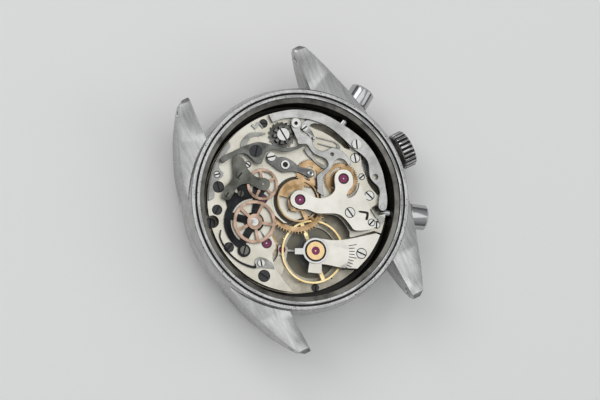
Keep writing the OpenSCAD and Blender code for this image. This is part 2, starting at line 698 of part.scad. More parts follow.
module train_bridge() color("#E4DFD2") difference() {
    union() {
        slab(bridge_z, bridge_t) bridge_plan(concat(split, train_edge));
        at(fourth) bar(0.75, bridge_top, bridge_top + 0.38);
    }
    at(fourth) bar(arbor_r + fit, 0, bridge_top + 2);
    for (p = [third, escape]) at(p) {
        bar(pivot_r + fit, bridge_z - 1, bridge_top + 1);
        bar(jewel_r + 0.01, bridge_top - 0.3, bridge_top + 1);
        bar(jewel_r + 0.18, bridge_top - 0.1, bridge_top + 1);
    }
    screw_bores(bright);
    screw_bores(dark);
    pivot_screw_bore(brake_place, 0.55);
    at(clamps[0][0]) bar(clamps[0][1] + 0.15, 0, bridge_top + 1);
    for (p = spring_feet) at(p) bar(0.2 + snug / 2, bridge_z - 1, bridge_top + 1);
}

// Low cock that carries the pallet fork, under the balance rim
module pallet_cock() color("#E4DFD2") difference() {
    union() {
        slab(plate_top + 0.6, 0.35) polygon(smooth([[-4.7, -5.35], [-4.4, -6.15], [-5.0, -7.1],
            [-6.6, -9.1], [-8.4, -10.6], [-9.6, -9.4], [-8.2, -7.5], [-6.5, -6.5], [-5.7, -5.1]]));
        at([-8.45, -9.4]) bar(0.8, plate_top, plate_top + 0.8);
    }
    at(pallet) bar(pivot_r + fit, 0, plate_top + 2);
    at(pallet) bar(0.51, plate_top + 0.73, plate_top + 2);
    at([-8.45, -9.4]) bar(0.25, plate_top - 0.1, plate_top + 2);
}

stud_angle = 242;       // where the balance spring is held, round the balance
cock_plan = [[-2.4, -7.1], [-1.1, -6.5], [0.3, -6.9], [2.2, -8.1], [4.7, -9.1], [9.2, -10.2, 1],
    [9.75, -10.75, 1], [8.6, -11.7], [6.4, -13.05], [3.9, -14.0, 1], [1.7, -12.8], [-0.3, -11.3],
    [-2.1, -10.1], [-3.05, -8.6]];

module balance_cock() color("#E4DFD2") difference() {
    union() {
        slab(cock_z, cock_top - cock_z) polygon(smooth(cock_plan));
        slab(plate_top, cock_top - plate_top) difference() {
            polygon(smooth(cock_plan));
            at(balance) circle(r = bridge_cut + 0.15, $fn = 64);
        }
        at(balance) bar(1.46, cock_top - 0.1, cock_top + 0.25);
        slab(cock_z, cock_top - cock_z) polygon([[-3.75, -11.0], [-2.75, -9.6], [-1.0, -10.6],
            [-1.8, -12.2]]);
        at(polar(balance, 2.97, stud_angle)) bar(0.15, balance_z + 0.76, cock_z + 0.1);
    }
    at(balance) bar(pivot_r + fit, 0, cock_top + 2);
    at(balance) bar(jewel_r + 0.01, cock_top - 0.05, cock_top + 2);
    screw_bores(bright);
    for (i = [0:8])
        at(balance) rotate(-17 - i * 4.6) translate([5.6, -0.06, cock_top - 0.08])
            cube([i % 4 == 0 ? 1.3 : 0.9, 0.12, 1]);
}

chrono_plan = [[-0.95, 1.25], [0.3, 1.53], [1.35, 0.75], [2.0, -0.2], [2.7, -1.0], [3.5, -1.35],
    [4.2, -1.5], [5.0, -1.45], [5.8, -1.1], [6.2, -0.5], [6.5, 0.35], [7.15, 1.25], [8.2, 1.5],
    [9.3, 0.8], [9.5, -0.3], [8.9, -1.55], [7.75, -2.15], [7.2, -2.7], [7.4, -3.2], [8.5, -3.15],
    [9.5, -2.5], [10.1, -1.7, 1], [10.05, -3], [9.9, -5], [9.8, -6.0], [9.35, -7.1], [9.7, -8],
    [9.3, -9.1], [8.3, -9.2], [7.0, -8.8], [5.9, -8.15], [5.65, -7.2], [5.4, -6.2], [5.0, -5.2],
    [4.3, -4.5], [3.0, -3.85], [1.5, -3.1], [0.4, -1.9], [-0.6, -1.42], [-1.5, -0.4], [-1.5, 0.5]];

module chronograph_bridge() color("#E9E5DA") difference() {
    union() {
        slab(chrono_z, chrono_bridge_t) polygon(smooth(chrono_plan));
        slab(bridge_top, chrono_z - bridge_top + 0.1) intersection() {
            polygon(smooth(chrono_plan));
            polygon([[5.5, -5.0], [11, -5.0], [11, -10], [5.5, -10]]);
        }
    }
    for (p = [centre, minute_place]) at(p) {
        bar(pivot_r + fit, 0, chrono_top + 1);
        bar(jewel_r + 0.01, chrono_top - 0.35, chrono_top + 1);
        bar(0.88, chrono_top - 0.12, chrono_top + 1);
    }
    screw_bores(bright);
    slab(chrono_top - 0.2, 1) polygon(smooth([[8.0, -5.75], [9.15, -6.45], [9.2, -6.9], [8.6, -7.65],
        [8.3, -7.4], [8.8, -6.8], [8.6, -6.5], [7.9, -6.0]]));
}

// A fine ring sunk round a pivot, from height z up
module sunk_ring(p, r, w, z) at(p) difference() {
    bar(r, z, z + 2);
    bar(r - w, z - 1, z + 3);
}

// A ring of ruby at a height
module jewel(p, z, r = jewel_r) at(p) difference() {
    bar(r, z, z + 0.22);
    bar(pivot_r + fit - 0.01, z - 1, z + 1);
}

module jewels() color("#8C2A5A") {
    for (p = [centre, minute_place]) jewel(p, chrono_top - 0.35);
    for (p = [third, escape]) jewel(p, bridge_top - 0.3);
    jewel(balance, cock_top - 0.02);
    jewel(pallet, plate_top + 0.75, 0.5);
}

module bright_screws() color("#C9C9C6") {
    for (s = bright) at(s[0]) screw(s[1], s[2], s[3], s[4]);
    pivot_screw(column_place, 1.0, 0.6, cam_z + 0.5, 95);
    pivot_stud(hammer_place, 0.75, 0.4, cam_z + lever_t + 0.05, 0.3);
    pivot_screw(operating_place, 0.75, 0.5, low_z + 0.85, 70);
    pivot_screw(reset_place, 0.5, 0.35, low_z + lever_t + 0.02, 10);
    pivot_screw(slide_place, 0.68, 0.42, mid_z + 0.27, 168);
}

module dark_screws() color("#3A4048") {
    for (s = dark) at(s[0]) screw(s[1], s[2], s[3], s[4]);
    pivot_screw(brake_place, 1.0, 0.55, high_z + lever_t + 0.03, 50);
    for (s = clamps) at(s[0]) screw(s[1], chamber_z + 0.01, 60, 0.9);
}

// Pale plate along the rim over the jumper's foot
module spring_plate() color("#CBC8BD") difference() {
    slab(bridge_top + 0.01, 0.3) polygon(concat(arc(centre, 14.6, 155, 114, 12), spring_plate_edge));
    screw_bores(bright);
    screw_bores(dark);
}
spring_plate_edge = [[-6.1, 12.5], [-7.2, 11.9], [-8.0, 11.3], [-8.8, 10.9], [-9.3, 10.4], [-9.2, 9.7],
    [-9.0, 9.2], [-9.3, 8.8], [-10.0, 8.6], [-10.6, 8.3], [-11.3, 7.7], [-11.7, 7.0], [-12.2, 6.2]];

// Winding work and going train

module barrel() color("#C9A66B") at(barrel_place) difference() {
    union() {
        slab(barrel_z, 0.25) gear(barrel_teeth, barrel_m, 0);
        bar(4.75, barrel_z, barrel_z + barrel_h);
    }
    bar(0.5 + fit, 0, bridge_top);
    translate([0, 0, barrel_z + 0.15]) difference() {
        cylinder(r = 4.45, h = barrel_h - 0.3, $fn = 64);
        cylinder(r = 0.3, h = 2, $fn = 32);
    }
}

module mainspring() color("#7C8794") at(barrel_place)
    slab(barrel_z + 0.2, barrel_h - 0.4) polygon(spiral(1.1, 4.25, 7, 0.12));

module barrel_arbor() color("#B5B5B3") at(barrel_place) union() {
    bar(0.5, plate_top - 0.8, bridge_z + 0.4);
    bar(0.85, barrel_z + 0.2, barrel_z + barrel_h - 0.2);
}

module ratchet_wheel() color("#B5B5B3") at(barrel_place) slab(ratchet_z, 0.2) difference() {
    fine_gear(ratchet_r, 72, 0.22);
    circle(r = 0.52, $fn = 32);
}

module crown_wheel() color("#B5B5B3") at(crown_wheel_place) union() {
    slab(ratchet_z, 0.2) fine_gear(crown_wheel_r, 39, 0.22);
    difference() {
        bar(2.2, crown_z + 1.15, ratchet_z + 0.1);
        bar(1.85, crown_z + 1, ratchet_z);
        for (i = [0:23]) rotate(i * 15) translate([1.5, -0.12, crown_z + 1]) cube([1.2, 0.24, 0.4]);
    }
    bar(0.5, ratchet_z, bridge_z + 0.4);
}

module winding_pinion() color("#B5B5B3") translate([12.4, 0, 0]) along_x(crown_z) difference() {
    linear_extrude(1.7) gear(12, 0.152, 0);
    translate([0, 0, -1]) cylinder(r = stem_r * 0.8 + 0.02, h = 5, $fn = 32);
}

module click() color("#B5B5B3") at(click_place) difference() {
    union() {
        slab(ratchet_z, 0.2) rotate(click_angle) polygon(smooth([[0.7, 0], [0.3, 0.7], [-0.7, 0.9],
            [-1.55, 1.3], [-1.74, 0.9, 1], [-0.9, -0.1], [-0.4, -0.7], [0.3, -0.6]]));
        bar(pivot_r, plate_top - 0.7, bridge_z + 0.4);
    }
}

module setting_lever() color("#B5B5B3") at(setting_place) union() {
    slab(plate_top + 0.05, 0.3) polygon(smooth([[-0.7, 0], [-0.4, -0.6], [0.5, -0.5], [0.9, 0.3],
        [1.35, 1.5], [1.2, 2.1], [0.75, 2.1], [0.5, 1.3], [-0.1, 0.7]]));
    bar(pivot_r + 0.1, plate_top - 0.7, plate_top + 0.4);
}

// Hollow centre arbor, its pinion, wheel and the cannon pinion
module centre_wheel() color("#D0A488") difference() {
    union() {
        slab(centre_z, wheel_t + 0.04) difference() {
            gear(centre_teeth, centre_m, 0);
            windows(1.1, 4.1, 5, 0.5);
        }
        slab(barrel_z, 0.45) gear(centre_pinion_teeth, barrel_m,
            mesh_turn(barrel_place, centre, barrel_teeth, centre_pinion_teeth, 0));
        slab(plate_z + 0.42, 0.4) gear(cannon_teeth, works_m, 0);
        bar(tube_r, works_top, bridge_z - 0.05);
        bar(cannon_r, minute_hand_z + 0.15, works_top + 0.1);
        bar(tube_r - 0.08, minute_hand_z, bridge_top - 0.1);
    }
    bar(runner_arbor_r + fit, 0, bridge_top + 1);
}

module third_wheel() color("#D0A488") at(third) union() {
    slab(third_z, wheel_t) difference() {
        gear(third_teeth, third_m, 0);
        windows(0.8, 2.8, 4, 0.4);
    }
    slab(centre_z - 0.05, 0.3) gear(third_pinion_teeth, centre_m,
        mesh_turn(centre, third, centre_teeth, third_pinion_teeth, 0));
    bar(0.15, plate_top + 0.02, bridge_z - 0.02);
    bar(pivot_r, plate_top - 0.7, bridge_top - 0.1);
}

// Fourth arbor, its pinion and wheel, reaching from the driving wheel to the small seconds hand
module fourth_wheel() color("#D0A488") at(fourth) union() {
    slab(fourth_z, wheel_t) difference() {
        gear(fourth_teeth, fourth_m, 0);
        windows(0.8, 2.8, 4, 0.4, 30);
    }
    slab(third_z - 0.06, 0.3) gear(fourth_pinion_teeth, third_m,
        mesh_turn(third, fourth, third_teeth, fourth_pinion_teeth, 0));
    bar(arbor_r, plate_z + 0.1, mid_z + 0.42);
    bar(pivot_r, small_hand_z, mid_z);
}

module driving_wheel() color("#C79A7C") at(fourth) difference() {
    union() {
        slab(mid_z, 0.2) difference() {
            fine_gear(driving_r, fine_teeth);
            windows(1.2, driving_r - 0.55, 5, 0.5, 38);
        }
        bar(1.25, mid_z - 0.06, mid_z + 0.4);
    }
    bar(arbor_r + 0.01, 0, mid_z + 2);
    bar(0.65, mid_z + 0.25, mid_z + 2);
}

module escape_wheel() color("#C9B07A") at(escape) union() {
    slab(plate_top + 0.2, 0.14) difference() {
        saw(escape_r, 15, 0.5);
        windows(0.6, 1.65, 4, 0.35);
    }
    slab(fourth_z - 0.06, 0.3) gear(escape_pinion_teeth, fourth_m,
        mesh_turn(fourth, escape, fourth_teeth, escape_pinion_teeth, 0));
    bar(0.15, plate_top + 0.02, bridge_z - 0.02);
    bar(pivot_r, plate_top - 0.7, bridge_top - 0.1);
}

// The fork lies from the pallets by the escape wheel to the roller on the balance staff
module pallet_fork() color("#B5B5B3") at(pallet) union() {
    way = balance - pallet;
    reach = norm(way) - 1.03;
    slab(plate_top + 0.18, 0.16) rotate(atan2(way[1], way[0])) polygon([[-0.2, 0.38], [0, 0.55],
        [0.3, 0.5], [0.5, 0.16], [reach - 0.4, 0.12], [reach - 0.15, 0.32], [reach, 0.28],
        [reach - 0.1, 0.1], [reach - 0.1, -0.1], [reach, -0.28], [reach - 0.15, -0.32],
        [reach - 0.4, -0.12], [0.5, -0.16], [0.3, -0.4], [-0.25, -0.45], [-0.36, 0]]);
    bar(pivot_r, plate_top - 0.7, plate_top + 0.9);
}

module balance_wheel() color("#E0C687") at(balance) union() {
    slab(balance_z, 0.45) difference() {
        circle(r = balance_r, $fn = 96);
        circle(r = balance_r - 0.32, $fn = 96);
    }
    slab(balance_z + 0.1, 0.2) rotate(85) square([2 * balance_r - 0.5, 0.62], center = true);
    slab(balance_z + 0.1, 0.2) circle(r = 0.9, $fn = 32);
    for (i = [0:11]) if (i % 6 != 3)
        rotate(85 + 15 + i * 30) translate([balance_r - 0.1, 0, balance_z + 0.22])
            rotate([0, 90, 0]) cylinder(r = 0.16, h = 0.32, $fn = 16);
    bar(0.85, plate_top + 0.42, plate_top + 0.62);
    bar(0.22, plate_top + 0.02, cock_z - 0.05);
    bar(pivot_r, plate_top - 0.7, cock_top + 0.18);
    bar(0.5, balance_z + 0.55, cock_z - 0.08);
}

module balance_spring() color("#5F7FA8") at(balance)
    slab(balance_z + 0.78, 0.16) rotate(stud_angle) polygon(spiral(0.6, 2.75, hairspring_turns, 0.05));

// Regulator ring and pointer with the square stud carrier beside it
module regulator() color("#BDBDBA") difference() {
    union() {
        slab(cock_top + 0.02, 0.18) {
            at(balance) circle(r = 2.1, $fn = 64);
            polygon([[-2.2, -7.45], [-4.0, -6.6], [-4.45, -7.5], [-2.7, -8.35]]);
        }
    }
    at(balance) bar(1.46 + fit, 0, cock_top + 2);
    at(balance) bar(1.74, cock_top + 0.11, cock_top + 2);
}

// Chronograph work

// Heart cam, its low side toward +X before it is turned to the hammer
module heart(r, h) {
    polygon([for (i = [0:35]) let (a = i * 10, s = abs(a - 180) / 180)
        polar([0, 0], h + (r - h) * (1 - s), a)]);
}

module chronograph_runner() color("#C9A66B") union() {
    slab(mid_z, 0.2) difference() {
        fine_gear(runner_r, fine_teeth);
        difference() {
            windows(0.95, runner_r - 0.3, 1, 0.7, 268);
            polygon(concat([[0, 0]], arc(centre, runner_r, 45, 140, 8)));
        }
        difference() {
            polygon(concat([[0, 0]], arc(centre, 1.75, 40, 145, 8)));
            circle(r = 0.95, $fn = 48);
        }
    }
    slab(cam_z, lever_t) rotate(20) heart(2.1, 0.85);
    slab(low_z, 0.18) {
        circle(r = 0.6, $fn = 32);
        rotate(200) polygon([[0, -0.3], [finger_r - 0.3, -0.14], [finger_r, 0], [finger_r - 0.3, 0.14],
            [0, 0.3]]);
    }
    bar(0.55, low_z, cam_z + 0.4);
    bar(runner_arbor_r, sweep_hand_z, low_z + 0.1);
    bar(pivot_r, cam_z, chrono_top - 0.05);
}

module coupling_wheel() color("#C79A7C") at(coupling) union() {
    slab(mid_z, 0.2) difference() {
        fine_gear(coupling_r, coupling_teeth);
        windows(0.75, coupling_r - 0.5, 5, 0.4);
    }
    bar(0.5, mid_z - 0.08, mid_z + 0.24);
    bar(pivot_r, bridge_top + 0.12, cam_z + 0.3);
}

clutch_plan_r = 4.9;
clutch_tabs = [
    [[-4.9, 3.2], [-3.9, 3.75], [-3.15, 4.5], [-3.5, 5.7], [-4.6, 5.8], [-5.9, 4.8], [-5.9, 3.5]],
    [[-8.3, 4.1], [-7.9, 8.1], [-7.2, 8.6], [-6.4, 8.4], [-6.1, 7.5], [-6.3, 4.1]],
    [[-11.0, 3.4], [-10.4, 6.3], [-9.6, 6.6], [-8.9, 6.3], [-8.1, 4.2]]];

module clutch_lever() color("#1F2124") difference() {
    z = bridge_top + 0.05;
    union() {
        at(fourth) slab(z, lever_t) {
            polygon(concat(arc([0, 0], clutch_plan_r, 48, 222, 24), arc([0, 0], 3.8, 222, 48, 24)));
            for (a = [56, 140, 214]) rotate(a) translate([0, -0.6]) square([4.2, 1.2]);
            circle(r = 1.6, $fn = 48);
        }
        for (p = clutch_tabs) slab(z, lever_t) polygon(p);
        at([-11.5, -3.4]) bar(1.05, z, z + lever_t);
    }
    at(fourth) bar(0.75 + fit, 0, cam_z);
    at(coupling) bar(pivot_r + fit, 0, cam_z);
}

// Upper bridge of the coupling wheel, on two pillars, with its screws
module clutch_bridge() color("#6E7062") difference() {
    union() {
        slab(cam_z, lever_t) polygon(smooth([[-10.2, 6.75], [-9.6, 7.15], [-8.3, 7.7], [-7.5, 9.0],
            [-7.0, 10.2], [-6.2, 10.9], [-5.4, 10.2], [-5.2, 9.4], [-5.3, 8.4], [-5.2, 7.6], [-4.6, 6.3],
            [-3.4, 5.55], [-2.98, 4.75], [-3.5, 3.9], [-4.3, 3.75], [-5.0, 4.3], [-5.6, 5.1],
            [-6.3, 5.95], [-7.8, 6.25], [-9.2, 5.5], [-10.3, 4.9], [-11.1, 5.7]]));
        for (p = [[-7.0, 7.7], [-9.9, 5.85]])
            at(p) bar(0.45, bridge_top + 0.05 + lever_t, cam_z + 0.1);
        at([-7.0, 7.7]) screw(0.6, cam_z + lever_t, 25, 0.1);
        at([-10.2, 5.8]) screw(0.45, cam_z + lever_t, 30, 0.1);
        at([-8.0, 5.0]) screw(0.5, bridge_top + 0.05 + lever_t, 50, 0);
        at([-11.5, -3.4]) screw(0.7, bridge_top + 0.05 + lever_t, 50, 0);
    }
    at(coupling) bar(pivot_r + fit, 0, cam_z + 2);
    sunk_ring(coupling, 0.5, 0.18, cam_z + lever_t - 0.08);
}

module sliding_gear() color("#C79A7C") at(sliding) difference() {
    slab(low_z, 0.18) difference() {
        square_gear(sliding_r, 40);
        windows(0.8, 1.15, 3, 0.6, 20);
    }
    bar(0.22 + fit, 0, mid_z + 1);
}

module sliding_gear_lever() color("#8D9295") difference() {
    union() {
        slab(mid_z, 0.24) polygon(smooth([[-1.75, 7.9], [-1.5, 8.6], [-0.95, 8.95], [-0.3, 8.5],
            [0, 7.75], [0.8, 7.4], [1.5, 6.8], [2.05, 6.0], [2.4, 5.2], [3.0, 4.5], [3.7, 4.0],
            [4.3, 3.5], [4.35, 2.8], [3.9, 2.45], [3.3, 2.55], [2.85, 3.1], [2.2, 3.9], [1.4, 4.5],
            [0.4, 4.9], [-0.3, 5.2], [-0.8, 5.8], [-1.2, 6.6], [-1.55, 7.3]]));
        at([0.6, 6.1]) bar(0.75, mid_z, cam_z + 0.1);
        at(sliding) bar(0.22, low_z - 0.05, mid_z + 0.1);
        at(sliding) bar(0.4, low_z + 0.2, mid_z + 0.1);
    }
    at(slide_place) bar(0.42 + fit, 0, cam_z + 2);
    at([0.6, 6.1]) bar(0.4, mid_z + 0.24, cam_z + 2);
    sunk_ring(sliding, 0.42, 0.16, mid_z + 0.16);
}

module minute_runner() color("#C79A7C") at(minute_place) union() {
    slab(low_z, 0.18) difference() {
        square_gear(minute_runner_r, 48);
        windows(1.75, 2.05, 3, 1.4, 45);
    }
    slab(cam_z, lever_t) rotate(75) heart(1.4, 0.62);
    bar(0.45, low_z, cam_z + 0.4);
    bar(arbor_r, plate_z + 0.1, low_z + 0.1);
    bar(pivot_r, small_hand_z, chrono_top - 0.05);
}

module column_wheel() color("#C9C9C6") at(column_place) difference() {
    union() {
        slab(bridge_top + 0.05, lever_t) saw(ratchet_ring_r, columns * 2, 0.3);
        slab(bridge_top + 0.25, 0.95) intersection() {
            circle(r = column_r, $fn = 48);
            union() {
                for (i = [0:columns - 1]) rotate(i * 360 / columns)
                    polygon([[0.9, -0.22], [2, -0.42], [2, 0.42], [0.9, 0.22]]);
                circle(r = 1.0, $fn = 32);
            }
        }
    }
    bar(0.6 + fit, 0, cam_z + 3);
}

// Long lever along the rim from the start pusher to the column wheel
module operating_lever() color("#B8B8B5") difference() {
    union() {
        slab(low_z + 0.3, 0.5) polygon(smooth([[1.75, 14.45, 1], [3.5, 14.2], [5.6, 13.6], [7.1, 12.85],
            [8.5, 12.0], [9.75, 11.0], [10.9, 9.7], [12.3, 7.65], [13.2, 6.1], [13.95, 4.6], [14.45, 3.1],
            [14.75, 1.5], [14.8, 0], [14.7, -1.55], [14.35, -3.05], [13.85, -4.7], [13.45, -5.9],
            [12.95, -6.8], [12.5, -7.4], [11.8, -7.4], [11.5, -6.8], [11.7, -6.2], [12.2, -5.4],
            [12.8, -4.5], [12.95, -3.6], [12.6, -2.7], [12.4, -1.8], [12.6, -1.0], [12.95, -0.2],
            [13.2, 0.8], [13.0, 1.8], [12.5, 2.8], [12.05, 3.5], [11.75, 4.3], [11.4, 5.3],
            [10.9, 6.5], [10.3, 7.8], [9.5, 9], [8.5, 10.1], [7.5, 11], [6.5, 11.6], [5.5, 12.2],
            [4.5, 12.65], [3.5, 12.95], [1.75, 13.15, 1]]));
        at(start_stud) bar(stud_r, pusher_z - 0.5, low_z + 0.4);
        slab(bridge_top + 0.07, 0.5) polygon([[1.8, 13.3], [2.6, 13.2], [2.9, 13.05], [2.4, 12.98],
            [1.8, 13.05]]);
    }
    at(operating_place) bar(0.5 + fit, 0, cam_z + 2);
    at([13.2, -2.0]) bar(0.5, 0, cam_z + 2);
    sunk_ring(start_stud, stud_r + 0.1, 0.14, low_z + 0.7);
}

// Lever under it from the reset pusher to the hammer
module reset_lever() color("#B8B8B5") difference() {
    union() {
        slab(bridge_top + 0.05, lever_t) polygon(smooth([[5.6, 10.5], [6.0, 10.95], [6.9, 11.1],
            [8.3, 10.8], [10.1, 9.65], [11.6, 8.3], [12.35, 7.5], [12.1, 6.9], [11.4, 7.0], [10.1, 8.4],
            [8.7, 9.7], [7.7, 10.2], [7.1, 9.9], [7.15, 8.9], [7.1, 8.1], [6.95, 7.65], [6.6, 7.55],
            [6.4, 8.1], [6.3, 9.0], [5.8, 9.7]]));
        at([6.78, 8.0]) bar(0.24, bridge_top + 0.1, cam_z + 0.25);
        at(reset_stud) bar(stud_r, pusher_z - 0.5, bridge_top + 0.2);
    }
    at(reset_place) bar(0.35 + fit, 0, cam_z + 2);
}

module hammer() color("#D2D2CE") difference() {
    slab(cam_z, lever_t) polygon(smooth([[4.15, 11.1], [4.15, 10.3], [4.1, 9.6], [4.1, 8.8], [3.95, 8.3],
        [4.3, 7.95], [4.95, 7.75], [5.3, 7.3], [5.4, 6.5], [5.65, 5.7], [6.1, 5.1], [6.7, 4.5],
        [7.05, 3.9], [7.05, 3.3], [6.8, 2.9], [6.0, 2.65], [5.0, 2.45], [4.4, 2.2], [4.1, 1.5],
        [3.7, 0.6], [3.3, 0, 1], [3.95, -1.2, 1], [4.35, -0.2], [4.6, 0.6], [5.1, 1.4], [5.6, 1.75],
        [6.6, 2.1], [7.5, 2.6], [8.2, 3.15], [8.9, 3.25], [9.5, 2.9], [9.85, 2.3], [9.9, 1.6, 1],
        [10.5, 1.6, 1], [10.5, 2.6], [10.3, 3.5], [9.9, 4.3], [9.3, 4.9], [8.6, 5.35], [7.7, 5.3],
        [6.9, 5.6], [6.3, 6.3], [6.1, 7.1], [6.3, 7.8], [6.15, 8.5], [5.65, 9.1], [5.3, 9.7],
        [5.4, 10.3], [5.95, 10.9], [5.95, 11.8], [5.3, 12.25], [4.6, 12.15]]));
    at(hammer_place) bar(0.4 + fit, 0, cam_z + 3);
    at([8.3, 4.35]) bar(0.28, 0, cam_z + 3);
}

module brake_lever() color("#55554F") difference() {
    slab(high_z, lever_t) polygon(smooth([[-8.75, 11.4, 1], [-7.5, 11.6], [-6.4, 11.6], [-5, 11.6],
        [-3.5, 11.5], [-2.2, 11.3], [-1.2, 10.75], [-0.4, 10.1], [0.5, 9.4], [1.5, 8.65],
        [2.6, 8.15], [3.6, 7.95], [4.8, 7.8], [4.9, 7.5], [3.6, 7.5], [2.3, 7.65], [1.2, 8.0],
        [0.3, 8.7], [-0.6, 9.2], [-1.6, 9.1], [-2.4, 8.4], [-3.1, 7.9], [-3.8, 8.4], [-4.2, 9.5],
        [-4.8, 10.5], [-6.4, 10.85], [-7.5, 10.75], [-8.8, 10.6, 1]]));
    at(brake_place) bar(0.55 + fit, 0, high_z + 3);
}

// Springs and jumpers, fixed to the bridges by round feet
jumper_z = bridge_top + 0.4;
spring_feet = [[-3.9, 12.35], [5.05, 6.6], [9.9, 5.0], [-8.95, -7.1], [11.2, -8.7], [-0.9, 13.6]];

module lever_springs() color("#C4C4C0") union() {
    z = bridge_top + 0.02;
    slab(z, 0.34) {
        polygon(smooth([[-4.6, 11.8], [-4.1, 12.5], [-3.1, 13.0], [-2.2, 13.15], [-1.3, 12.85],
            [-0.5, 12.4], [0.1, 12.1, 1], [-0.1, 11.9, 1], [-0.9, 12.0], [-1.8, 12.35], [-2.6, 12.35],
            [-3.2, 11.95], [-3.7, 11.6], [-4.3, 11.5]]));
        polygon([[7.45, 7.95], [8.6, 7.1], [9.78, 6.1], [10.25, 5.4], [10.3, 4.8], [9.9, 4.5],
            [8.5, 5.7], [7.15, 6.85], [7.25, 6.97], [8.6, 5.83], [9.65, 4.95], [9.95, 5.35],
            [9.65, 5.95], [8.5, 6.95], [7.37, 7.8]]);
        polygon(smooth([[-13.5, 1.2, 1], [-13.35, 1.1, 1], [-13.95, 0.25], [-14.02, -0.9], [-13.9, -2.1],
            [-13.47, -3.5], [-12.75, -4.8], [-11.75, -5.85], [-11.1, -6.3], [-10.75, -6.0], [-11.0, -6.8],
            [-11.95, -6.15], [-12.95, -5.0], [-13.7, -3.6], [-14.14, -2.15], [-14.25, -0.9],
            [-14.15, 0.35]]));
        polygon(smooth([[10.7, -8.3], [10.6, -8.9], [11.2, -9.2], [11.7, -8.8], [11.6, -8.2],
            [11.0, -7.85], [10.75, -7.3], [10.5, -6.4], [10.3, -6.45], [10.4, -7.4], [10.5, -8.0]]));
        polygon([[-1.5, 14.1], [-1.2, 13.3], [-0.7, 13.4], [-0.3, 13.9], [0.0, 12.9], [0.15, 12.9],
            [-0.1, 14.15], [-0.5, 14.2], [-0.9, 13.8], [-1.2, 14.25]]);
    }
    difference() {
        slab(z, 0.2) polygon([[-11.0, -6.5], [-10.75, -5.75], [-10.3, -5.4], [-9.6, -5.4], [-8.8, -6.1],
            [-8.15, -7.3], [-8.3, -8.2], [-9.2, -7.7], [-10.1, -7.15], [-11.1, -6.75]]);
        screw_bores(bright);
    }
    for (p = spring_feet) at(p) bar(0.2, bridge_z + 0.2, z + 0.2);
    at(spring_feet[1]) bar(0.4, z, jumper_z + 0.1);
    slab(jumper_z, 0.22) polygon(smooth([[4.6, 7.0], [5.2, 7.1], [5.5, 6.5], [5.35, 5.6], [5.6, 4.6],
        [6.1, 3.7], [6.7, 3.1], [6.75, 2.65, 1], [6.4, 2.65, 1], [5.95, 3.0], [5.6, 3.6], [5.25, 4.4],
        [5.0, 5.2], [4.7, 6.0]]));
    slab(z + 0.05, 0.5) polygon([[6.4, 2.95], [6.45, 2.66], [6.68, 2.66], [6.65, 2.95]]);
}

case_middle();
bezel();
crystal();
crown();
crown_gasket();
crown_tube();
winding_stem();
start_pusher();
reset_pusher();
pusher_tubes();
pusher_springs();
dial();
hour_hand();
minute_hand();
chronograph_hand();
small_seconds_hand();
minute_counter_hand();
hour_recorder();
hour_wheel();
minute_wheel();
main_plate();
barrel_bridge();
train_bridge();
pallet_cock();
balance_cock();
chronograph_bridge();
jewels();
bright_screws();
dark_screws();
spring_plate();
barrel();
mainspring();
barrel_arbor();
ratchet_wheel();
crown_wheel();
winding_pinion();
click();
setting_lever();
centre_wheel();
third_wheel();
fourth_wheel();
driving_wheel();
escape_wheel();
pallet_fork();
balance_wheel();
balance_spring();
regulator();
chronograph_runner();
coupling_wheel();
clutch_lever();
clutch_bridge();
sliding_gear();
sliding_gear_lever();
minute_runner();
column_wheel();
operating_lever();
reset_lever();
hammer();
brake_lever();
lever_springs();
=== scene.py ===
import json
import math

import bpy
from mathutils import Matrix, Vector


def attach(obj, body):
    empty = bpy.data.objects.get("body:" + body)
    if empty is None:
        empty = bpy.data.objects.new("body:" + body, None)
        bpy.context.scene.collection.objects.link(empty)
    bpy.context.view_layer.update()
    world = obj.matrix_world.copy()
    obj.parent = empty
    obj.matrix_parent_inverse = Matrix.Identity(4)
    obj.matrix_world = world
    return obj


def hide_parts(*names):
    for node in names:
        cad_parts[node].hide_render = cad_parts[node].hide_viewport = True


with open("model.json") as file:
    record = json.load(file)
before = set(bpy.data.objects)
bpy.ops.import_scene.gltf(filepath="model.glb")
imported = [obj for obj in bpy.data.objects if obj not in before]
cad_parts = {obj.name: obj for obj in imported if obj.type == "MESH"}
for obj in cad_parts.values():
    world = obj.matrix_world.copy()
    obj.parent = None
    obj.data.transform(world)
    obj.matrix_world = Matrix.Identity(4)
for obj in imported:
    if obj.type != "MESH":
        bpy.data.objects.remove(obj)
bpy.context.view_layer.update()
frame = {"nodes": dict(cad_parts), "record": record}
nodes = frame["nodes"]
body_of = {n: body for body, names in frame["record"]["behaviour"]["bodies"].items() for n in names}

MM = 0.001
CROWN_SIDE = 26.5          # degrees that the watch lies turned in the picture
VIEW_TILT = 14.0           # degrees that the camera leans from straight above
LENS = 135                 # focal length in mm
SENSOR = 36                # sensor width in mm
FRAME_WIDTH = 96.3         # mm that the picture spans at the works
AIM_HEIGHT = 9.5           # mm above the floor that the camera looks at

# Heights and radii in mm, as the solids have them
RIM_TOP = 11.8
RIM_GROOVE_R = 17.0
BACK_BORE_R = 16.4
BACK_BORE_FLOOR = 11.15
CROWN_AXIS = 5.8
CROWN_NECK = 19.3
DIAL_FACE = 4.0
COUNTER_FACE = 4.1
PRINT = 0.02
TRACK_R = 14.0
COUNTER_R = 3.4
COUNTERS = (((-8, 0), 60), ((8, 0), 30), ((0, 8), 12))
FLAT = 0.9                 # a face whose normal rises more than this lies flat
STEEP = 0.35               # a face whose normal rises less than this is a wall


# Camera, lamps and floor

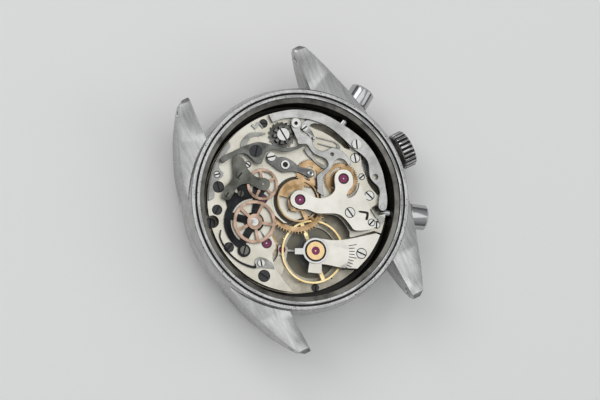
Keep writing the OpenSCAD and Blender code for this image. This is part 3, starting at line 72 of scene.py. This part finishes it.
def place_camera():
    """A long lens above the open movement, at the photograph's angle."""
    tilt = math.radians(VIEW_TILT)
    turn = math.radians(CROWN_SIDE)
    back = Vector((-math.sin(tilt), 0, math.cos(tilt)))
    up = Vector((math.sin(turn), math.cos(turn), 0))
    up = (up - up.dot(back) * back).normalized()
    right = up.cross(back)
    target = Vector((0, 0, AIM_HEIGHT * MM)) + right * 0.3 * MM + up * 0.1 * MM
    bpy.ops.object.camera_add()
    camera = bpy.context.object
    camera.name = "camera"
    camera.data.lens = LENS
    camera.data.sensor_width = SENSOR
    camera.data.clip_start = 0.01
    distance = FRAME_WIDTH * MM * LENS / SENSOR
    turned = Matrix((right, up, back)).transposed().to_4x4()
    camera.matrix_world = Matrix.Translation(target + back * distance) @ turned
    bpy.context.scene.camera = camera


def lamp(name, place, size, watts, tone=(1, 1, 1)):
    bpy.ops.object.light_add(type="AREA", location=place)
    soft = bpy.context.object
    soft.name = name
    soft.data.shape = "RECTANGLE"
    soft.data.size, soft.data.size_y = size
    soft.data.energy = watts
    soft.data.color = tone
    soft.rotation_euler = (Vector(place) - Vector((0, 0, 0.01))).to_track_quat("Z", "Y").to_euler()


def linear(code):
    """A linear colour from an sRGB hex code."""
    parts = [int(code[i:i + 2], 16) / 255 for i in (1, 3, 5)]
    return [p / 12.92 if p <= 0.04045 else ((p + 0.055) / 1.055) ** 2.4 for p in parts] + [1]


def add(tree, kind, links=None, **settings):
    """Adds a node to a tree, with its settings, socket values and links."""
    made = tree.nodes.new(kind)
    for key, value in settings.items():
        setattr(made, key, value)
    for socket, value in (links or {}).items():
        if isinstance(value, bpy.types.NodeSocket):
            tree.links.new(value, made.inputs[socket])
        else:
            made.inputs[socket].default_value = value
    return made


def new_finish(name):
    """An empty material with its surface shader and output."""
    finish = bpy.data.materials.new(name)
    finish.use_nodes = True
    tree = finish.node_tree
    tree.nodes.clear()
    surface = add(tree, "ShaderNodeBsdfPrincipled")
    add(tree, "ShaderNodeOutputMaterial", {"Surface": surface.outputs[0]})
    return finish, tree, surface


def studio():
    """One wide softbox above, one beside it, and a room that is darker towards its floor."""
    lamp("top_softbox", (0.14, 0.02, 0.75), (0.5, 0.5), 0.62)
    lamp("key_softbox", (-0.16, 0.42, 0.52), (0.5, 0.4), 1.1)
    lamp("fill_softbox", (0.5, -0.35, 0.4), (0.35, 0.35), 0.3)
    world = bpy.data.worlds.new("studio_room")
    bpy.context.scene.world = world
    world.use_nodes = True
    tree = world.node_tree
    tree.nodes.clear()
    way = add(tree, "ShaderNodeTexCoord").outputs["Generated"]
    height = add(tree, "ShaderNodeSeparateXYZ", {"Vector": way}).outputs["Z"]
    strength = add(tree, "ShaderNodeMapRange", {"Value": height, "From Min": 0.0, "From Max": 0.95,
        "To Min": 0.06, "To Max": 0.62})
    room = add(tree, "ShaderNodeBackground", {"Color": linear("#F7F9FC"), "Strength": strength.outputs[0]})
    add(tree, "ShaderNodeOutputWorld", {"Surface": room.outputs[0]})
    bpy.ops.mesh.primitive_plane_add(size=4, location=(0, 0, -0.02 * MM))
    floor = bpy.context.object
    floor.name = "floor"
    finish, tree, surface = new_finish("matt_paper_floor")
    surface.inputs["Base Color"].default_value = linear("#FAFAF8")
    surface.inputs["Roughness"].default_value = 0.9
    floor.data.materials.append(finish)


# Finishes: each metal is named for how its surface was made, and painted shade is named as painted shade

def wire_metal(tree, surface, stain, grain, tones, gloss, relief, spread=(0.35, 0.62)):
    """Turns a stain into colour between two tones, and a grain into uneven gloss and relief in mm."""
    colour = add(tree, "ShaderNodeValToRGB", {"Fac": stain})
    for stop, position, tone in zip(colour.color_ramp.elements, spread, tones):
        stop.position = position
        stop.color = linear(tone)
    shine = add(tree, "ShaderNodeMapRange", {"Value": grain, "From Min": 0.3, "From Max": 0.7,
        "To Min": gloss[0], "To Max": gloss[1]})
    bump = add(tree, "ShaderNodeBump", {"Height": grain, "Strength": relief[0], "Distance": relief[1] * MM})
    tree.links.new(colour.outputs[0], surface.inputs["Base Color"])
    tree.links.new(shine.outputs[0], surface.inputs["Roughness"])
    tree.links.new(bump.outputs[0], surface.inputs["Normal"])
    surface.inputs["Metallic"].default_value = 1


def plate_finish(name, tone, shade, rough, grit=0.12):
    """Frosted and rhodium-plated brass: pale, soft and finely grained all over, with faint stains."""
    finish, tree, surface = new_finish(name)
    place = add(tree, "ShaderNodeTexCoord").outputs["Object"]
    frost = add(tree, "ShaderNodeTexNoise", {"Vector": place, "Scale": 1 / (grit * MM), "Detail": 3.0})
    stain = add(tree, "ShaderNodeTexNoise", {"Vector": place, "Scale": 1 / (4.5 * MM), "Detail": 4.0,
        "Roughness": 0.6})
    wire_metal(tree, surface, stain.outputs["Fac"], frost.outputs["Fac"], (shade, tone),
        (rough - 0.06, rough + 0.08), (0.25, 0.006), (0.35, 0.6))
    return finish


def grained_finish(name, tone, shade, rough, angle=0, line=0.09, depth=0.004):
    """Steel drawn over a stone: straight scratches in one direction that stretch the highlights."""
    finish, tree, surface = new_finish(name)
    place = add(tree, "ShaderNodeTexCoord").outputs["Object"]
    turned = add(tree, "ShaderNodeMapping", {"Vector": place, "Rotation": (0, 0, math.radians(angle)),
        "Scale": (1 / (line * 25 * MM), 1 / (line * MM), 1 / (line * MM))})
    grain = add(tree, "ShaderNodeTexNoise", {"Vector": turned.outputs[0], "Scale": 1.0, "Detail": 3.0})
    stain = add(tree, "ShaderNodeTexNoise", {"Vector": place, "Scale": 1 / (2.2 * MM), "Detail": 5.0})
    wire_metal(tree, surface, stain.outputs["Fac"], grain.outputs["Fac"], (shade, tone),
        (rough - 0.07, rough + 0.1), (0.35, depth))
    return finish


def turned_finish(name, tone, shade, rough, centre=(0, 0), line=0.12, depth=0.003):
    """Metal turned or circular-grained about its own centre: fine rings that fan the light."""
    finish, tree, surface = new_finish(name)
    place = add(tree, "ShaderNodeTexCoord").outputs["Object"]
    centred = add(tree, "ShaderNodeMapping", {"Vector": place,
        "Location": (-centre[0] * MM, -centre[1] * MM, 0), "Scale": (1, 1, 0)})
    radius = add(tree, "ShaderNodeVectorMath", {0: centred.outputs[0]}, operation="LENGTH")
    rings = add(tree, "ShaderNodeTexNoise", {"W": radius.outputs["Value"], "Scale": 1 / (line * MM),
        "Detail": 2.0}, noise_dimensions="1D")
    stain = add(tree, "ShaderNodeTexNoise", {"Vector": place, "Scale": 1 / (1.6 * MM), "Detail": 4.0})
    wire_metal(tree, surface, stain.outputs["Fac"], rings.outputs["Fac"], (shade, tone),
        (rough - 0.05, rough + 0.08), (0.3, depth))
    return finish


def case_finish():
    """Stainless case steel after years of wear: turned rings on the rim, a straight grain along the lugs,
    dull grey pits where the case back sat, and painted shade in the chamber round the movement."""
    finish, tree, surface = new_finish("worn_stainless_steel")
    place = add(tree, "ShaderNodeTexCoord").outputs["Object"]
    flat = add(tree, "ShaderNodeMapping", {"Vector": place, "Scale": (1, 1, 0)})
    radius = add(tree, "ShaderNodeVectorMath", {0: flat.outputs[0]}, operation="LENGTH").outputs["Value"]
    rings = add(tree, "ShaderNodeTexNoise", {"W": radius, "Scale": 1 / (0.12 * MM), "Detail": 3.0},
        noise_dimensions="1D")
    drawn = add(tree, "ShaderNodeMapping", {"Vector": place,
        "Scale": (1 / (0.1 * MM), 1 / (3.0 * MM), 1 / (0.3 * MM))})
    grain = add(tree, "ShaderNodeTexNoise", {"Vector": drawn.outputs[0], "Scale": 1.0, "Detail": 3.0})
    lug = add(tree, "ShaderNodeMapRange", {"Value": radius, "From Min": 17.85 * MM, "From Max": 18.1 * MM})
    lines = add(tree, "ShaderNodeMix", {"Factor": lug.outputs[0], "A": rings.outputs["Fac"],
        "B": grain.outputs["Fac"]})
    worn = add(tree, "ShaderNodeMapping", {"Vector": place, "Scale": (1 / (0.5 * MM), 1 / (3.5 * MM),
        1 / (1.5 * MM))})
    wear = add(tree, "ShaderNodeTexNoise", {"Vector": worn.outputs[0], "Scale": 1.0, "Detail": 5.0})
    pits = add(tree, "ShaderNodeTexNoise", {"Vector": place, "Scale": 1 / (0.28 * MM), "Detail": 2.0})
    on_rim = add(tree, "ShaderNodeMapRange", {"Value": radius, "From Min": 17.85 * MM,
        "From Max": 17.7 * MM})
    pitted = add(tree, "ShaderNodeMapRange", {"Value": pits.outputs["Fac"], "From Min": 0.64,
        "From Max": 0.68, "To Max": on_rim.outputs[0]})
    colour = add(tree, "ShaderNodeValToRGB", {"Fac": wear.outputs["Fac"]})
    colour.color_ramp.elements[0].position = 0.25
    colour.color_ramp.elements[0].color = linear("#A4A5A3")
    colour.color_ramp.elements[1].position = 0.75
    colour.color_ramp.elements[1].color = linear("#C6C7C5")
    # Painted shade: inside r 15.8 mm the steel turns near-black, the same colour as the pits.
    inside = add(tree, "ShaderNodeMapRange", {"Value": radius, "From Min": 15.8 * MM,
        "From Max": 15.6 * MM})
    pits_and_shade = add(tree, "ShaderNodeMath", {0: inside.outputs[0], 1: pitted.outputs[0]}, operation="MAXIMUM")
    pitted_and_shaded = add(tree, "ShaderNodeMix", {"Factor": pits_and_shade.outputs[0], "A": colour.outputs[0],
        "B": linear("#2F2D2A")}, data_type="RGBA")
    gloss = add(tree, "ShaderNodeMapRange", {"Value": lines.outputs["Result"], "From Min": 0.3,
        "From Max": 0.7, "To Min": 0.2, "To Max": 0.36})
    marks = add(tree, "ShaderNodeMath", {0: lines.outputs["Result"], 1: pitted.outputs[0]},
        operation="SUBTRACT")
    bump = add(tree, "ShaderNodeBump", {"Height": marks.outputs[0], "Strength": 0.4,
        "Distance": 0.008 * MM})
    tree.links.new(pitted_and_shaded.outputs["Result"], surface.inputs["Base Color"])
    tree.links.new(gloss.outputs[0], surface.inputs["Roughness"])
    tree.links.new(bump.outputs[0], surface.inputs["Normal"])
    surface.inputs["Metallic"].default_value = 1
    return finish


def polished_finish(name, tone, rough):
    """Polished metal with hairline scratches: a mirror that is a little soft."""
    finish, tree, surface = new_finish(name)
    place = add(tree, "ShaderNodeTexCoord").outputs["Object"]
    hairlines = add(tree, "ShaderNodeTexNoise", {"Vector": place, "Scale": 1 / (0.5 * MM), "Detail": 6.0})
    gloss = add(tree, "ShaderNodeMapRange", {"Value": hairlines.outputs["Fac"], "From Min": 0.3,
        "From Max": 0.7, "To Min": rough * 0.7, "To Max": rough * 1.5})
    tree.links.new(gloss.outputs[0], surface.inputs["Roughness"])
    surface.inputs["Base Color"].default_value = linear(tone)
    surface.inputs["Metallic"].default_value = 1
    return finish


def ruby_finish():
    """Polished synthetic ruby: deep purple-red, glassy."""
    finish, tree, surface = new_finish("synthetic_ruby")
    place = add(tree, "ShaderNodeTexCoord").outputs["Object"]
    depth = add(tree, "ShaderNodeTexNoise", {"Vector": place, "Scale": 1 / (0.6 * MM), "Detail": 2.0})
    colour = add(tree, "ShaderNodeValToRGB", {"Fac": depth.outputs["Fac"]})
    colour.color_ramp.elements[0].color = linear("#5E0A3A")
    colour.color_ramp.elements[1].color = linear("#A3206F")
    tree.links.new(colour.outputs[0], surface.inputs["Base Color"])
    surface.inputs["Roughness"].default_value = 0.06
    surface.inputs["IOR"].default_value = 1.45
    return finish


def painted_shade_finish(name="painted_shade_wall", tone="#26241F"):
    """Painted shade on milled walls and pockets that nobody polished: a dark colour that stands in for
    their shade, with a dull shine.
    """
    finish, tree, surface = new_finish(name)
    place = add(tree, "ShaderNodeTexCoord").outputs["Object"]
    cutter = add(tree, "ShaderNodeTexNoise", {"Vector": place, "Scale": 1 / (0.25 * MM), "Detail": 3.0})
    gloss = add(tree, "ShaderNodeMapRange", {"Value": cutter.outputs["Fac"], "From Min": 0.3,
        "From Max": 0.7, "To Min": 0.3, "To Max": 0.5})
    tree.links.new(gloss.outputs[0], surface.inputs["Roughness"])
    surface.inputs["Base Color"].default_value = linear(tone)
    surface.inputs["Metallic"].default_value = 0.6
    return finish


def crystal_finish():
    """Moulded acrylic crystal: clear, with faint wipe marks."""
    finish, tree, surface = new_finish("moulded_acrylic")
    place = add(tree, "ShaderNodeTexCoord").outputs["Object"]
    wipes = add(tree, "ShaderNodeTexNoise", {"Vector": place, "Scale": 1 / (3 * MM), "Detail": 6.0})
    gloss = add(tree, "ShaderNodeMapRange", {"Value": wipes.outputs["Fac"], "From Min": 0.4,
        "From Max": 0.8, "To Min": 0.02, "To Max": 0.12})
    tree.links.new(gloss.outputs[0], surface.inputs["Roughness"])
    surface.inputs["Base Color"].default_value = linear("#F4F7F7")
    surface.inputs["IOR"].default_value = 1.49
    surface.inputs["Transmission Weight"].default_value = 1
    return finish


def rubber_finish():
    """Moulded nitrile rubber: black and dull."""
    finish, tree, surface = new_finish("nitrile_rubber")
    place = add(tree, "ShaderNodeTexCoord").outputs["Object"]
    skin = add(tree, "ShaderNodeTexNoise", {"Vector": place, "Scale": 1 / (0.2 * MM), "Detail": 3.0})
    bump = add(tree, "ShaderNodeBump", {"Height": skin.outputs["Fac"], "Strength": 0.2,
        "Distance": 0.01 * MM})
    tree.links.new(bump.outputs[0], surface.inputs["Normal"])
    surface.inputs["Base Color"].default_value = linear("#1D1E20")
    surface.inputs["Roughness"].default_value = 0.7
    return finish


def lacquer_finish(name, tone, rough):
    """Lacquer sprayed thin on brass: even, with the least orange peel."""
    finish, tree, surface = new_finish(name)
    place = add(tree, "ShaderNodeTexCoord").outputs["Object"]
    peel = add(tree, "ShaderNodeTexNoise", {"Vector": place, "Scale": 1 / (0.3 * MM), "Detail": 2.0})
    bump = add(tree, "ShaderNodeBump", {"Height": peel.outputs["Fac"], "Strength": 0.1,
        "Distance": 0.005 * MM})
    tree.links.new(bump.outputs[0], surface.inputs["Normal"])
    surface.inputs["Base Color"].default_value = linear(tone)
    surface.inputs["Roughness"].default_value = rough
    surface.inputs["Coat Weight"].default_value = 0.3
    return finish


# Pieces

def only(piece):
    """Selects one piece and nothing else."""
    bpy.ops.object.select_all(action="DESELECT")
    piece.hide_set(False)
    piece.select_set(True)
    bpy.context.view_layer.objects.active = piece


def dress(node, finish):
    """Gives a CAD solid its finish."""
    piece = nodes[node]
    piece.data.materials.clear()
    piece.data.materials.append(finish)


def chamfered(node, width, face, edge, angle=35, segments=1):
    """A copy of a CAD solid with its sharp edges broken, as a file and a polishing peg leave them."""
    source = nodes[node]
    piece = bpy.data.objects.new(node + "_finished", source.data.copy())
    bpy.context.scene.collection.objects.link(piece)
    only(piece)
    piece.data.materials.clear()
    piece.data.materials.append(face)
    piece.data.materials.append(edge)
    for polygon in piece.data.polygons:
        polygon.material_index = 0
    bpy.ops.object.mode_set(mode="EDIT")
    bpy.ops.mesh.select_all(action="SELECT")
    bpy.ops.mesh.remove_doubles(threshold=0.001 * MM)
    bpy.ops.mesh.dissolve_limited(angle_limit=math.radians(0.6))
    bpy.ops.object.mode_set(mode="OBJECT")
    cut = piece.modifiers.new("chamfer", "BEVEL")
    cut.width = width * MM
    cut.segments = segments
    cut.limit_method = "ANGLE"
    cut.angle_limit = math.radians(angle)
    cut.material = 1
    cut.use_clamp_overlap = True
    bpy.ops.object.modifier_apply(modifier=cut.name)
    bpy.ops.object.shade_smooth_by_angle(angle=math.radians(30))
    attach(piece, body_of[node])
    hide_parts(node)
    return piece


def painted(piece, finish, test):
    """Gives the faces whose lowest corner, in mm, and normal pass a test their own finish."""
    piece.data.materials.append(finish)
    index = len(piece.data.materials) - 1
    points = piece.data.vertices
    for polygon in piece.data.polygons:
        lowest = min((points[i].co for i in polygon.vertices), key=lambda place: place.z)
        if test(lowest / MM, polygon.normal):
            polygon.material_index = index


def part_tops(piece):
    """The height in mm of each vertex's loose part."""
    mesh = piece.data
    group = list(range(len(mesh.vertices)))

    def root(i):
        while group[i] != i:
            group[i] = group[group[i]]
            i = group[i]
        return i

    for edge in mesh.edges:
        group[root(edge.vertices[0])] = root(edge.vertices[1])
    top = {}
    for vertex in mesh.vertices:
        part = root(vertex.index)
        top[part] = max(top.get(part, -1), vertex.co.z / MM)
    return [top[root(vertex.index)] for vertex in mesh.vertices]


def shaded_slots(piece):
    """Darkens the walls and slot floors of screws with painted shade."""
    tops = part_tops(piece)
    piece.data.materials.append(shaded_wall)
    index = len(piece.data.materials) - 1
    for polygon in piece.data.polygons:
        sunk = tops[polygon.vertices[0]] - polygon.center.z / MM > 0.08
        if abs(polygon.normal.z) < STEEP or (polygon.normal.z > FLAT and sunk):
            polygon.material_index = index


def joined(name, boxes, finish, body):
    """One piece made of small boxes, each a middle, a size and a turn, in mm and degrees."""
    corners, faces = [], []
    for middle, size, turn in boxes:
        base = len(corners)
        spin = Matrix.Rotation(math.radians(turn), 3, "Z")
        for z in (-0.5, 0.5):
            for x, y in ((-0.5, -0.5), (0.5, -0.5), (0.5, 0.5), (-0.5, 0.5)):
                corner = spin @ Vector((x * size[0], y * size[1], z * size[2]))
                corners.append((Vector(middle) + corner) * MM)
        faces += [[base + i for i in face] for face in (
            (3, 2, 1, 0), (4, 5, 6, 7), (0, 1, 5, 4), (1, 2, 6, 5), (2, 3, 7, 6), (3, 0, 4, 7))]
    mesh = bpy.data.meshes.new(name)
    mesh.from_pydata(corners, [], faces)
    piece = bpy.data.objects.new(name, mesh)
    bpy.context.scene.collection.objects.link(piece)
    mesh.materials.append(finish)
    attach(piece, body)
    return piece


def dial_ticks():
    """Printed ticks of the minute track and of the three counters, on the dial's own face."""
    boxes = []
    for i in range(60):
        a = math.radians(i * 6)
        length = 1.0 if i % 5 == 0 else 0.55
        r = TRACK_R - length / 2 - 0.35
        boxes.append(((r * math.cos(a), r * math.sin(a), DIAL_FACE - PRINT / 2), (length, 0.1, PRINT),
            i * 6))
    for (x, y), count in COUNTERS:
        for i in range(count):
            a = math.radians(i * 360 / count)
            length = 0.6 if i % (count // 4 if count < 60 else 5) == 0 else 0.35
            r = COUNTER_R - length / 2
            place = (x + r * math.cos(a), y + r * math.sin(a), COUNTER_FACE - PRINT / 2)
            boxes.append((place, (length, 0.07, PRINT), i * 360 / count))
    return boxes


place_camera()
studio()

case_steel = case_finish()
# Painted shade: near-black on walls, slots and grooves, and darker greys on sunk pocket floors and on the
# balance chamber.
shaded_wall = painted_shade_finish()
pocket = painted_shade_finish("painted_shade_pocket_floor", "#4A463C")
chamber = painted_shade_finish("painted_shade_balance_chamber", "#7C786A")
bright_edge = polished_finish("polished_edge", "#E2E2E0", 0.16)
dark_edge = polished_finish("polished_dark_edge", "#85878A", 0.2)
gold_edge = polished_finish("polished_gilt_edge", "#E3C9A4", 0.18)
stained_shaded_ledge = plate_finish("stained_shaded_case_ledge", "#85837C", "#454340", 0.42)
gilt_cap = polished_finish("gilt_cap", "#D9BC8C", 0.22)
crown_steel = polished_finish("polished_stainless_steel", "#B4B5B5", 0.12)
plate_silver = plate_finish("frosted_rhodium_plate", "#E2DED2", "#CFCABA", 0.42)
base_silver = plate_finish("frosted_base_plate", "#D8D2C2", "#9A9280", 0.45)
bridge_silver = plate_finish("fine_frosted_bridge", "#E9E6DD", "#DAD6CB", 0.4, 0.08)
long_grain = grained_finish("grained_steel_levers", "#BDBDBA", "#9C9C99", 0.3, 30)
cross_grain = grained_finish("grained_steel_small_parts", "#C6C6C3", "#A8A8A6", 0.28, -55)
# The column wheel gets a darker grey steel than the other steel parts.
dark_column_steel = grained_finish("dark_column_wheel_steel", "#74746F", "#3C3C37", 0.3, 20)
spring_grain = grained_finish("hardened_spring_steel", "#A9A9A5", "#77776F", 0.3, 70)
dark_grain = grained_finish("dark_grained_steel", "#73746F", "#4E4F4B", 0.33, -10)
olive_grain = grained_finish("aged_nickel_silver", "#6F6F68", "#4B4B45", 0.34, 35)
slide_grain = grained_finish("grained_sliding_steel", "#828280", "#646462", 0.3, -40)
black_grain = grained_finish("blackened_steel", "#303132", "#1C1C1D", 0.34, 15)
screw_blue = polished_finish("dark_oxidised_screw", "#3B3C3E", 0.24)
screw_steel = polished_finish("polished_screw", "#C4C4C0", 0.22)
pale_grain = grained_finish("pale_grained_steel", "#9E9E9B", "#83837F", 0.34, -50)
ruby = ruby_finish()
crystal_clear = crystal_finish()
gasket_rubber = rubber_finish()
dial_silver = turned_finish("silvered_dial", "#E6E2D8", "#DAD5C8", 0.36)
hand_black = lacquer_finish("black_lacquer", "#18191B", 0.35)
print_black = lacquer_finish("printed_dial_ink", "#232323", 0.5)
blue_spring = polished_finish("tempered_spring_steel", "#4A5360", 0.3)

GILT = {
    "driving_wheel": (-8, 0), "fourth_wheel": (-8, 0), "coupling_wheel": (-4.157, 4.827),
    "third_wheel": (-5.074, 2.726), "hour_recorder": (0, 8)}
YELLOW = {
    "sliding_gear": (3.747, 3.095), "minute_runner": (8, 0), "centre_wheel": (0, 0),
    "chronograph_runner": (0, 0), "barrel": (4.135, 4.282), "escape_wheel": (-7.587, -3.93),
    "hour_wheel": (0, 0), "minute_wheel": (1.5, 1.554)}

dress("bezel", case_steel)
dress("crystal", crystal_clear)
dress("dial", dial_silver)
dress("crown_gasket", gasket_rubber)
for node in ("crown_tube", "pusher_tubes", "winding_stem", "barrel_arbor", "pusher_springs", "mainspring"):
    dress(node, spring_grain)
for node in ("hour_hand", "minute_hand"):
    dress(node, crown_steel)
for node in ("chronograph_hand", "small_seconds_hand", "minute_counter_hand"):
    dress(node, hand_black)
dress("jewels", ruby)
dress("balance_spring", blue_spring)
for node in ("ratchet_wheel", "crown_wheel", "winding_pinion", "click", "setting_lever", "pallet_fork"):
    dress(node, cross_grain)

joined("dial_printing", dial_ticks(), print_black, "root")


# Steep walls; the pieces below give them the dark wall finish, which is painted shade.
def wall(place, normal):
    return abs(normal.z) < STEEP


def shaded_groove_and_bore(place, normal):
    """The gasket's groove in the rim and everything inside the bore, which get painted shade."""
    r = math.hypot(place.x, place.y)
    in_groove = abs(r - RIM_GROOVE_R) < 0.2 and place.z < RIM_TOP - 0.04
    in_bore = r < BACK_BORE_R + 0.02 and place.z < RIM_TOP - 0.2
    return in_groove or in_bore


def bore_ledge(place, normal):
    """The flat ledge where the case back's spigot ends, which gets stains and painted shade."""
    inside = math.hypot(place.x, place.y) < BACK_BORE_R + 0.1
    return inside and normal.z > FLAT and abs(place.z - BACK_BORE_FLOOR) < 0.15


def flute(place, normal):
    """The valleys between the crown's teeth, and its neck, which get painted shade."""
    r = math.hypot(place.y, place.z - CROWN_AXIS)
    return place.x < CROWN_NECK or 2.6 < r < 2.99 and abs(normal.x) < 0.5


def arbor_at(centre, reach=0.3):
    """The steel arbor of a brass wheel."""
    return lambda place, normal: math.hypot(place.x - centre[0], place.y - centre[1]) < reach


def floor_below(height):
    """Flat floors of sinks and pockets, lower than a height, which get painted shade."""
    return lambda place, normal: normal.z > FLAT and place.z < height


def top_above(height):
    """The rounded or flat top of a boss, higher than a height."""
    return lambda place, normal: normal.z > 0.3 and place.z > height


def bridge_sink(place, normal):
    """The two sunk rings of the coupling wheel's bridge, which get painted shade."""
    return normal.z > FLAT and (10.15 < place.z < 10.25 or 9.4 < place.z < 9.5)


def slide_hole(place, normal):
    """The hole in the boss of the sliding gear's lever, which gets painted shade."""
    return math.hypot(place.x - 0.6, place.y - 6.1) < 0.43 and place.z < 9.8


def left_blade(place, normal):
    """The dark blade spring round the driving wheel."""
    return place.x < -11.2 and -6.2 < place.y < 1.5


def below_dial(place, normal):
    """The hour counter's hand, on the far side of the dial."""
    return place.z < DIAL_FACE


# Painted shade in the crown's flute valleys and on its neck.
painted(chamfered("crown", 0.05, crown_steel, bright_edge), shaded_wall, flute)
for node in ("start_pusher", "reset_pusher"):
    chamfered(node, 0.06, crown_steel, bright_edge, segments=2)
# Painted shade: the dark wall finish on the walls of these and the following pieces stands in for their
# shade.
for node in ("barrel_bridge", "train_bridge"):
    bridge = chamfered(node, 0.06, plate_silver, bright_edge)
    painted(bridge, shaded_wall, wall)
    # Painted shade on the floors of the bridges' sinks and pockets.
    painted(bridge, pocket, floor_below(8.93))
case = chamfered("case_middle", 0.07, case_steel, bright_edge, 40, 2)
# Painted shade in the rim's groove and inside the bore.
painted(case, shaded_wall, shaded_groove_and_bore)
# Stains and painted shade on the ledge inside the bore.
painted(case, stained_shaded_ledge, bore_ledge)
cock = chamfered("pallet_cock", 0.05, base_silver, bright_edge)
painted(cock, shaded_wall, wall)
plate = chamfered("main_plate", 0.05, base_silver, dark_edge)
painted(plate, shaded_wall, wall)
# Painted shade on the balance chamber sunk in the main plate.
painted(plate, chamber, floor_below(6.3))
cock = chamfered("balance_cock", 0.06, bridge_silver, bright_edge)
painted(cock, shaded_wall, wall)
# Painted shade on the balance cock's sunk floors.
painted(cock, shaded_wall, floor_below(9.66))
painted(cock, gilt_cap, top_above(9.8))
bridge = chamfered("chronograph_bridge", 0.08, bridge_silver, bright_edge)
painted(bridge, shaded_wall, wall)
# Painted shade in the chronograph bridge's sinks.
painted(bridge, shaded_wall, floor_below(10.95))
for node in ("operating_lever", "reset_lever", "hammer"):
    painted(chamfered(node, 0.05, long_grain, bright_edge), shaded_wall, wall)
painted(chamfered("spring_plate", 0.04, pale_grain, bright_edge), shaded_wall, wall)
painted(chamfered("column_wheel", 0.03, dark_column_steel, bright_edge), shaded_wall, wall)
ring = chamfered("regulator", 0.03, screw_steel, bright_edge)
painted(ring, shaded_wall, wall)
# Painted shade in the regulator's sunk ring.
painted(ring, shaded_wall, floor_below(9.85))
springs = chamfered("lever_springs", 0.03, spring_grain, bright_edge)
painted(springs, shaded_wall, wall)
painted(springs, black_grain, left_blade)
painted(chamfered("clutch_lever", 0.04, black_grain, dark_edge), shaded_wall, wall)
bridge = chamfered("clutch_bridge", 0.04, olive_grain, dark_edge)
painted(bridge, shaded_wall, wall)
# Painted shade on the bridge's sunk rings.
painted(bridge, shaded_wall, bridge_sink)
painted(chamfered("brake_lever", 0.04, dark_grain, dark_edge), shaded_wall, wall)
slide = chamfered("sliding_gear_lever", 0.04, slide_grain, bright_edge)
painted(slide, shaded_wall, wall)
painted(slide, screw_steel, top_above(9.8))
# Painted shade in the hole of the lever's boss.
painted(slide, shaded_wall, slide_hole)
# Painted shade in the screws' slots and on their walls.
shaded_slots(chamfered("bright_screws", 0.03, screw_steel, bright_edge))
shaded_slots(chamfered("dark_screws", 0.03, screw_blue, dark_edge))
rim = turned_finish("gilt_balance_rim", "#E9D8A8", "#D6BC82", 0.2, (-1.1, -8.45))
painted(chamfered("balance_wheel", 0.03, rim, gold_edge), shaded_wall, wall)
for node, centre in GILT.items():
    rose = turned_finish("rose_gilt_" + node, "#BDA18F", "#86705F", 0.24, centre)
    wheel = chamfered(node, 0.02, rose, gold_edge)
    painted(wheel, shaded_wall, wall)
    painted(wheel, screw_steel, arbor_at(centre))
    if node == "hour_recorder":
        painted(wheel, hand_black, below_dial)
for node, centre in YELLOW.items():
    yellow = turned_finish("yellow_gilt_" + node, "#C6A883", "#8F7450", 0.24, centre)
    wheel = chamfered(node, 0.02, yellow, gold_edge)
    painted(wheel, shaded_wall, wall)
    painted(wheel, screw_steel, arbor_at(centre))

bpy.context.scene.view_settings.view_transform = "Standard"
